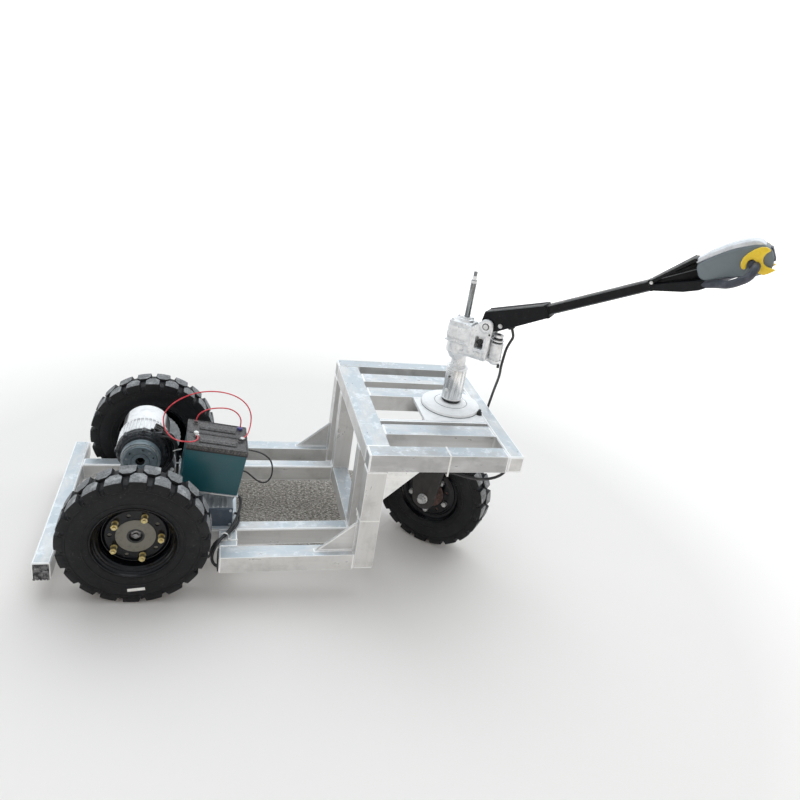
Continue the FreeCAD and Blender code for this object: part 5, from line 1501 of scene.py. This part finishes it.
gear_paint = Finish("gear_paint", (0.86, 0.865, 0.87), 0.42, 0.2)
gear_paint.clouds((0.66, 0.665, 0.67), 55, 0.48, 0.7, 0, 0.7, detail=6)
parts = gear_paint.node("ShaderNodeSeparateXYZ",
                        Vector=gear_paint.coordinates.outputs["Object"])
CAST_ABOVE, BLACK_BELOW = 0.372, 0.364
gear_paint.tint(gear_paint.ramp(parts.outputs["Z"], CAST_ABOVE, BLACK_BELOW),
                (0.030, 0.033, 0.037))
gear_paint.bumps(420, 0.0005, detail=4)
dress("gear_case", gear_paint, 2.4, 3)
dress("axle_housing", cast_silver, 1.2)
dress("axle_saddles", cast_silver)
dress("equipment_tray", mill_y, 0.6)
dress("battery_cradle", mill_x)
dress("controller", panel_metal, 2.0, 3)
dress("controller_cover", cover_blue, 1.2, 3)
dress("battery_terminals", bright_zinc, 0.7)

# %% [markdown]
# The motor's body and its near bell are one spun outline with two finishes. The fins, ribs,
# bolts and ears are each modelled once and copied round the axis.

# %% Motor
motor = lathe("motor_body", [
    (12, -70), (44, -70), (46, -68.8), (52, -68.4), (53.5, -66.4), (61, -65.6), (62.5, -63.4),
    (69, -62.6), (71, -60.6), (71.4, -57.4), (74.4, -56.4), (75.6, -54.6), (76, -51.0),
    (75.4, -49.6), (73.6, -49.0), (73.6, -46.4), (75.6, -45.8), (76, -44.4), (76, -38.6),
    (75.2, -37.4), (70.6, -36.6), (70.4, 30.0), (74, 31), (75.4, 32.2), (75.4, 34.9),
    (12, 34.9)], 120)
smooth(motor, 24)
motor.data.materials.append(bell_black.made)
motor.data.materials.append(cast_silver.made)
for face in motor.data.polygons:
    face.material_index = 1 if face.center.y > -37.2 * MM else 0
fit_out(motor, "chassis", "motor_paint", place=MOTOR, stands_for=("drive_motor",))
fins = block("motor_fin", (-1.5, -36, 69), (1.5, 31, 76.6), 0.7)
fins = smooth(round_about("motor_fins", fins, 40), 35)
fit_out(fins, "chassis", "motor_paint", cast_silver, place=MOTOR)
bell_ribs = block("bell_rib", (-2.0, -62, 58), (2.0, -50, 73.6), 1.0)
bell_ribs = round_about("bell_ribs", bell_ribs, 24, first=7.5)
bell_bolts = round_about("bell_bolts", bolt("bell_bolt", "Y", (0, -57.6, 66.8), 8, 6, 6, -1), 8,
                         first=4)
ears = drum("bell_ear", "Y", (0, -60, 73.2), 6.6, 21, 28, 1.2)
ears = round_about("bell_ears", ears, 8, first=4)
box = block("terminal_box", (31, -66, 47), (57, -34, 72), 3)
box_lid = block("terminal_lid", (33, -64, 71), (58.5, -36, 74.6), 1.2)
assembled("bell_parts", [bell_ribs, bell_bolts, ears, box, box_lid], "chassis", "motor_paint",
          bell_black, place=MOTOR)
for number, y in enumerate((-62, -50, -38)):
    gland = hex_nut("lead_gland", "X", (56.6, y, 60), 9, 5)
    collar = drum("lead_collar", "X", (58, y, 60), 4.2, 8, 24, 0.8)
    gland = smooth(joined("lead_gland_%d" % number, [gland, collar]), 35)
    fit_out(gland, "chassis", "motor_paint", black_plastic, place=MOTOR)


# %% [markdown]
# Black ducts arch over the motor's bell. A disc is spun about the motor's axis through part
# of a turn, which keeps each duct at one distance from the body.

# %% Ducts over the motor's leads
def hoop(name, radius, thick, y, start, end):
    """A round bar bent about the motor's axis from one angle to another."""
    bpy.ops.mesh.primitive_circle_add(vertices=16, radius=thick * MM, fill_type="NGON",
                                      location=(radius * MM, y * MM, 0))
    bar = bake_place(named(name))
    bar.data.transform(turn(-start, "Y"))
    bpy.ops.object.mode_set(mode="EDIT")
    bpy.ops.mesh.select_all(action="SELECT")
    bpy.ops.mesh.spin(steps=40, angle=math.radians(start - end), center=(0, 0, 0),
                      axis=(0, -1, 0))
    bpy.ops.mesh.select_all(action="SELECT")
    bpy.ops.mesh.normals_make_consistent(inside=False)
    bpy.ops.object.mode_set(mode="OBJECT")
    return bar


hoops = [hoop("lead_duct", radius, 4.6, y, 66, -52)
         for radius, y in ((82, -58), (90, -50), (90, -38), (82, -30), (90, -24))]
hoops.append(hoop("lead_tray", 79.5, 3.2, -42, 72, -58))
assembled("lead_ducts", hoops, "chassis", "motor_paint", boot_black, angle=45, place=MOTOR)

# %% [markdown]
# The brake is a stack of turned discs on a short neck. Holes in its face and notches in its
# rim are cut out of the spun outline, as a drill would cut them.

# %% Brake
neck = [(12, -69.5), (43, -69.5), (43, -78.5), (12, -78.5)]
brake_outline = [
    (9.2, -78), (57, -78), (58.5, -79.4), (58.5, -86.2), (57.4, -87.2), (57.4, -89.2),
    (58.5, -90.2), (58.5, -101.4), (57.6, -102.6), (54.8, -102.8), (54.6, -104.8), (53.0, -106),
    (50.8, -106.2), (50.0, -108.8), (48.4, -110.4), (29.6, -111.2), (28.6, -109.4), (26.2, -109.2),
    (24.8, -111.6), (15.0, -112), (13.4, -110.4), (12.4, -100), (9.2, -99)]
brake = lathe("brake_disc", brake_outline, 96)
holes = round_about("holes", drum("hole", "Y", (0, -118, 39.6), 3.1, 16, 20), 6, first=12)
notches = round_about("notches", drum("notch", "Y", (0, -114, 58.6), 3.4, 13, 20), 6, first=30)
carved(brake, holes, notches)
brake = smooth(joined("brake", [brake, lathe("brake_neck", neck, 64)]), 28)
brake.data.materials.append(brake_grey.made)
brake.data.materials.append(brake_edge.made)
brake.data.materials.append(boot_black.made)
for face in brake.data.polygons:
    radius = face.center.xz.length
    rim_part = 50 * MM < radius < 59 * MM and -107 * MM < face.center.y < -101.8 * MM
    face.material_index = 2 if radius < 13.2 * MM else (1 if rim_part else 0)
fit_out(brake, "chassis", "brake_metal", place=MOTOR, stands_for=("motor_brake",))
screws = bolt("screw", "Y", (0, -110.8, 39.6), 7, 1.6, 0, -1)
screws = round_about("brake_screws", screws, 3, first=42)
fit_out(smooth(screws, 35), "chassis", "brake_metal", brake_edge, place=MOTOR)

# %% [markdown]
# Each cover of the axle has ribs, bolts and a ring of teeth, and the gear case has bolts on
# both sides of its seam. Each small piece is modelled once and copied round the axle.

# %% Axle and gear case details
AXLE = PLATFORM @ shift(0, 0, AXLE_HEIGHT)
rings = []
for side in (1, -1):
    low, high = sorted((229 * side, 254.6 * side))
    rib = slab("cover_rib", [(-2.5, 28), (2.5, 28), (2.5, 84), (-2.5, 84)], low, high, 0.8)
    for corner in rib.data.vertices:
        if corner.co.z > 50 * MM and abs(corner.co.y) < 240 * MM:
            corner.co.y = 247 * side * MM
    rings.append(round_about("cover_ribs", rib, 12, first=15))
    rim_low, rim_high = sorted((250 * side, 259.4 * side))
    screw = bolt("cover_bolt", "Y", (0, 254 * side, 82), 9, 5, 6.6, -side)
    rings.append(round_about("cover_bolts", screw, 12))
    tooth = block("tooth", (-3.2, rim_low, 88.6), (3.2, rim_high - 0.6, 92.4), 0.8)
    rings.append(round_about("teeth", tooth, 36))
for y, outward in ((35, -1), (125, 1)):
    screw = bolt("case_bolt", "Y", (0, y, 76), 10, 5, 7, outward)
    rings.append(round_about("case_bolts", screw, 10, first=18))
rings.append(lathe("case_seam", [(80, 77), (85.6, 77), (85.6, 83), (80, 83)], 96))
assembled("axle_parts", rings, "chassis", "axle_casting", cast_silver, place=AXLE)

# %% [markdown]
# The controller has cooling fins on top and in front, four cover screws, and a gland nut
# where a cable leaves. Blocks are enough, because these parts are flat and straight.

# %% Controller details
trim = []
for k in range(9):
    trim.append(block("top_fin", (137 + 14 * k, -187, 208.4), (143 + 14 * k, -33, 212.6), 1.0))
for x, z in ((137, 152), (263, 152), (137, 202), (263, 202)):
    trim.append(bolt("cover_screw", "Y", (x, -195, z), 7, 2.4, 4.6, -1))
for k, start in enumerate((-84, -184, -184, -84)):
    trim.append(block("side_fin", (268.6, start, 158 + 12 * k), (271.6, -36, 162 + 12 * k), 1.0))
assembled("controller_trim", trim, "chassis", "controller_metal", panel_metal, place=PLATFORM)
nuts = [hex_nut("gland_nut", "X", (270, -100, 194), 19, 3.2),
        hex_nut("gland_nut", "X", (270, -150, 161), 19, 3.2)]
assembled("gland_nuts", nuts, "chassis", "controller_cover", black_plastic, place=PLATFORM)

# %% [markdown]
# The two batteries share a tilted shelf. Each has a tapered teal case and a grey lid with a
# raised vent strip. Dust lies on the lids, and a black gasket shows under their edges.

# %% Batteries
for side, low in (("right", 0), ("left", 93)):
    case = block("case", (0.4, low + 0.4, 0), (180.6, low + 88.6, 138), 3.2)
    for corner in case.data.vertices:
        part = 1 - 0.032 * (1 - corner.co.z / (138 * MM))
        corner.co.x = 90.5 * MM + (corner.co.x - 90.5 * MM) * part
        middle = (low + 44.5) * MM
        corner.co.y = middle + (corner.co.y - middle) * (2 * part - 1)
    case = smooth(case, 35)
    fit_out(case, "chassis", "battery_case", teal_case, place=BATTERIES,
            stands_for=("battery_" + side,))
lids, gaskets = [], []
for low in (0, 93):
    lids += [
        block("lid", (-1.6, low - 1.6, 139.6), (182.6, low + 90.6, 152.4), 2.6),
        block("vent_strip", (36, low + 25, 150), (146, low + 53, 156.4), 2.4),
        block("end_rail", (-1.2, low + 2, 151), (3.2, low + 87, 154.4), 1.2),
        block("end_rail", (177.8, low + 2, 151), (182.2, low + 87, 154.4), 1.2),
        block("side_rail", (0, low - 1.2, 151), (181, low + 2.4, 154.2), 1.2),
        block("side_rail", (0, low + 86.6, 151), (181, low + 90.2, 154.2), 1.2)]
    lids += [drum("vent_cap", "Z", (47 + 17.6 * k, low + 39, 155.6), 6.0, 1.8, 28, 0.6)
             for k in range(6)]
    lids += [drum("terminal_seat", "Z", (x, y, 150), 10, 3.4, 32, 0.8)
             for x, y in (((24, 66), (160, 70)) if low == 0 else ((22, 160), (160, 158)))]
    gaskets += [block("gasket", (-0.8, low - 0.8, 135.6), (181.8, low + 89.8, 140.4), 0.8),
                block("strip_line", (33.6, low + 22.6, 151.4), (148.4, low + 55.4, 152.9), 0.4)]
assembled("battery_lids_moulded", lids, "chassis", "battery_lid", lid_grey, place=BATTERIES,
          stands_for=("battery_lids",))
gaskets.append(block("joint_line", (0, 89.2, 137), (181, 92.8, 151.6), 0.4))
assembled("lid_gaskets", gaskets, "chassis", "battery_lid", boot_black, place=BATTERIES)

# %% [markdown]
# A black boot, a bare nut, a blue cap and a white cap sit on the four battery terminals.
# They are short drums with rounded rims.

# %% Terminal boots and caps
boots = [drum("boot", "Z", (160, 70, 157.6), 8.4, 4.4, 32, 1.4),
         drum("terminal_nut", "Z", (22, 160, 157), 8.0, 3.0, 6, 0.5)]
assembled("terminal_boots", boots, "chassis", "battery_lid", boot_black, place=BATTERIES)
cap = smooth(drum("terminal_cap", "Z", (160, 158, 153.2), 9.0, 8.6, 32, 2.4), 35)
fit_out(cap, "chassis", "battery_lid", boot_blue, place=BATTERIES)
clear = [drum("lug_cap", "Z", (24, 66, 161.4), 7.4, 5.4, 32, 1.6),
         hex_nut("lug_nut", "Z", (24, 66, 163), 10, 5.0)]
assembled("lug_cap", clear, "chassis", "axle_steel", tie_nylon, place=BATTERIES)
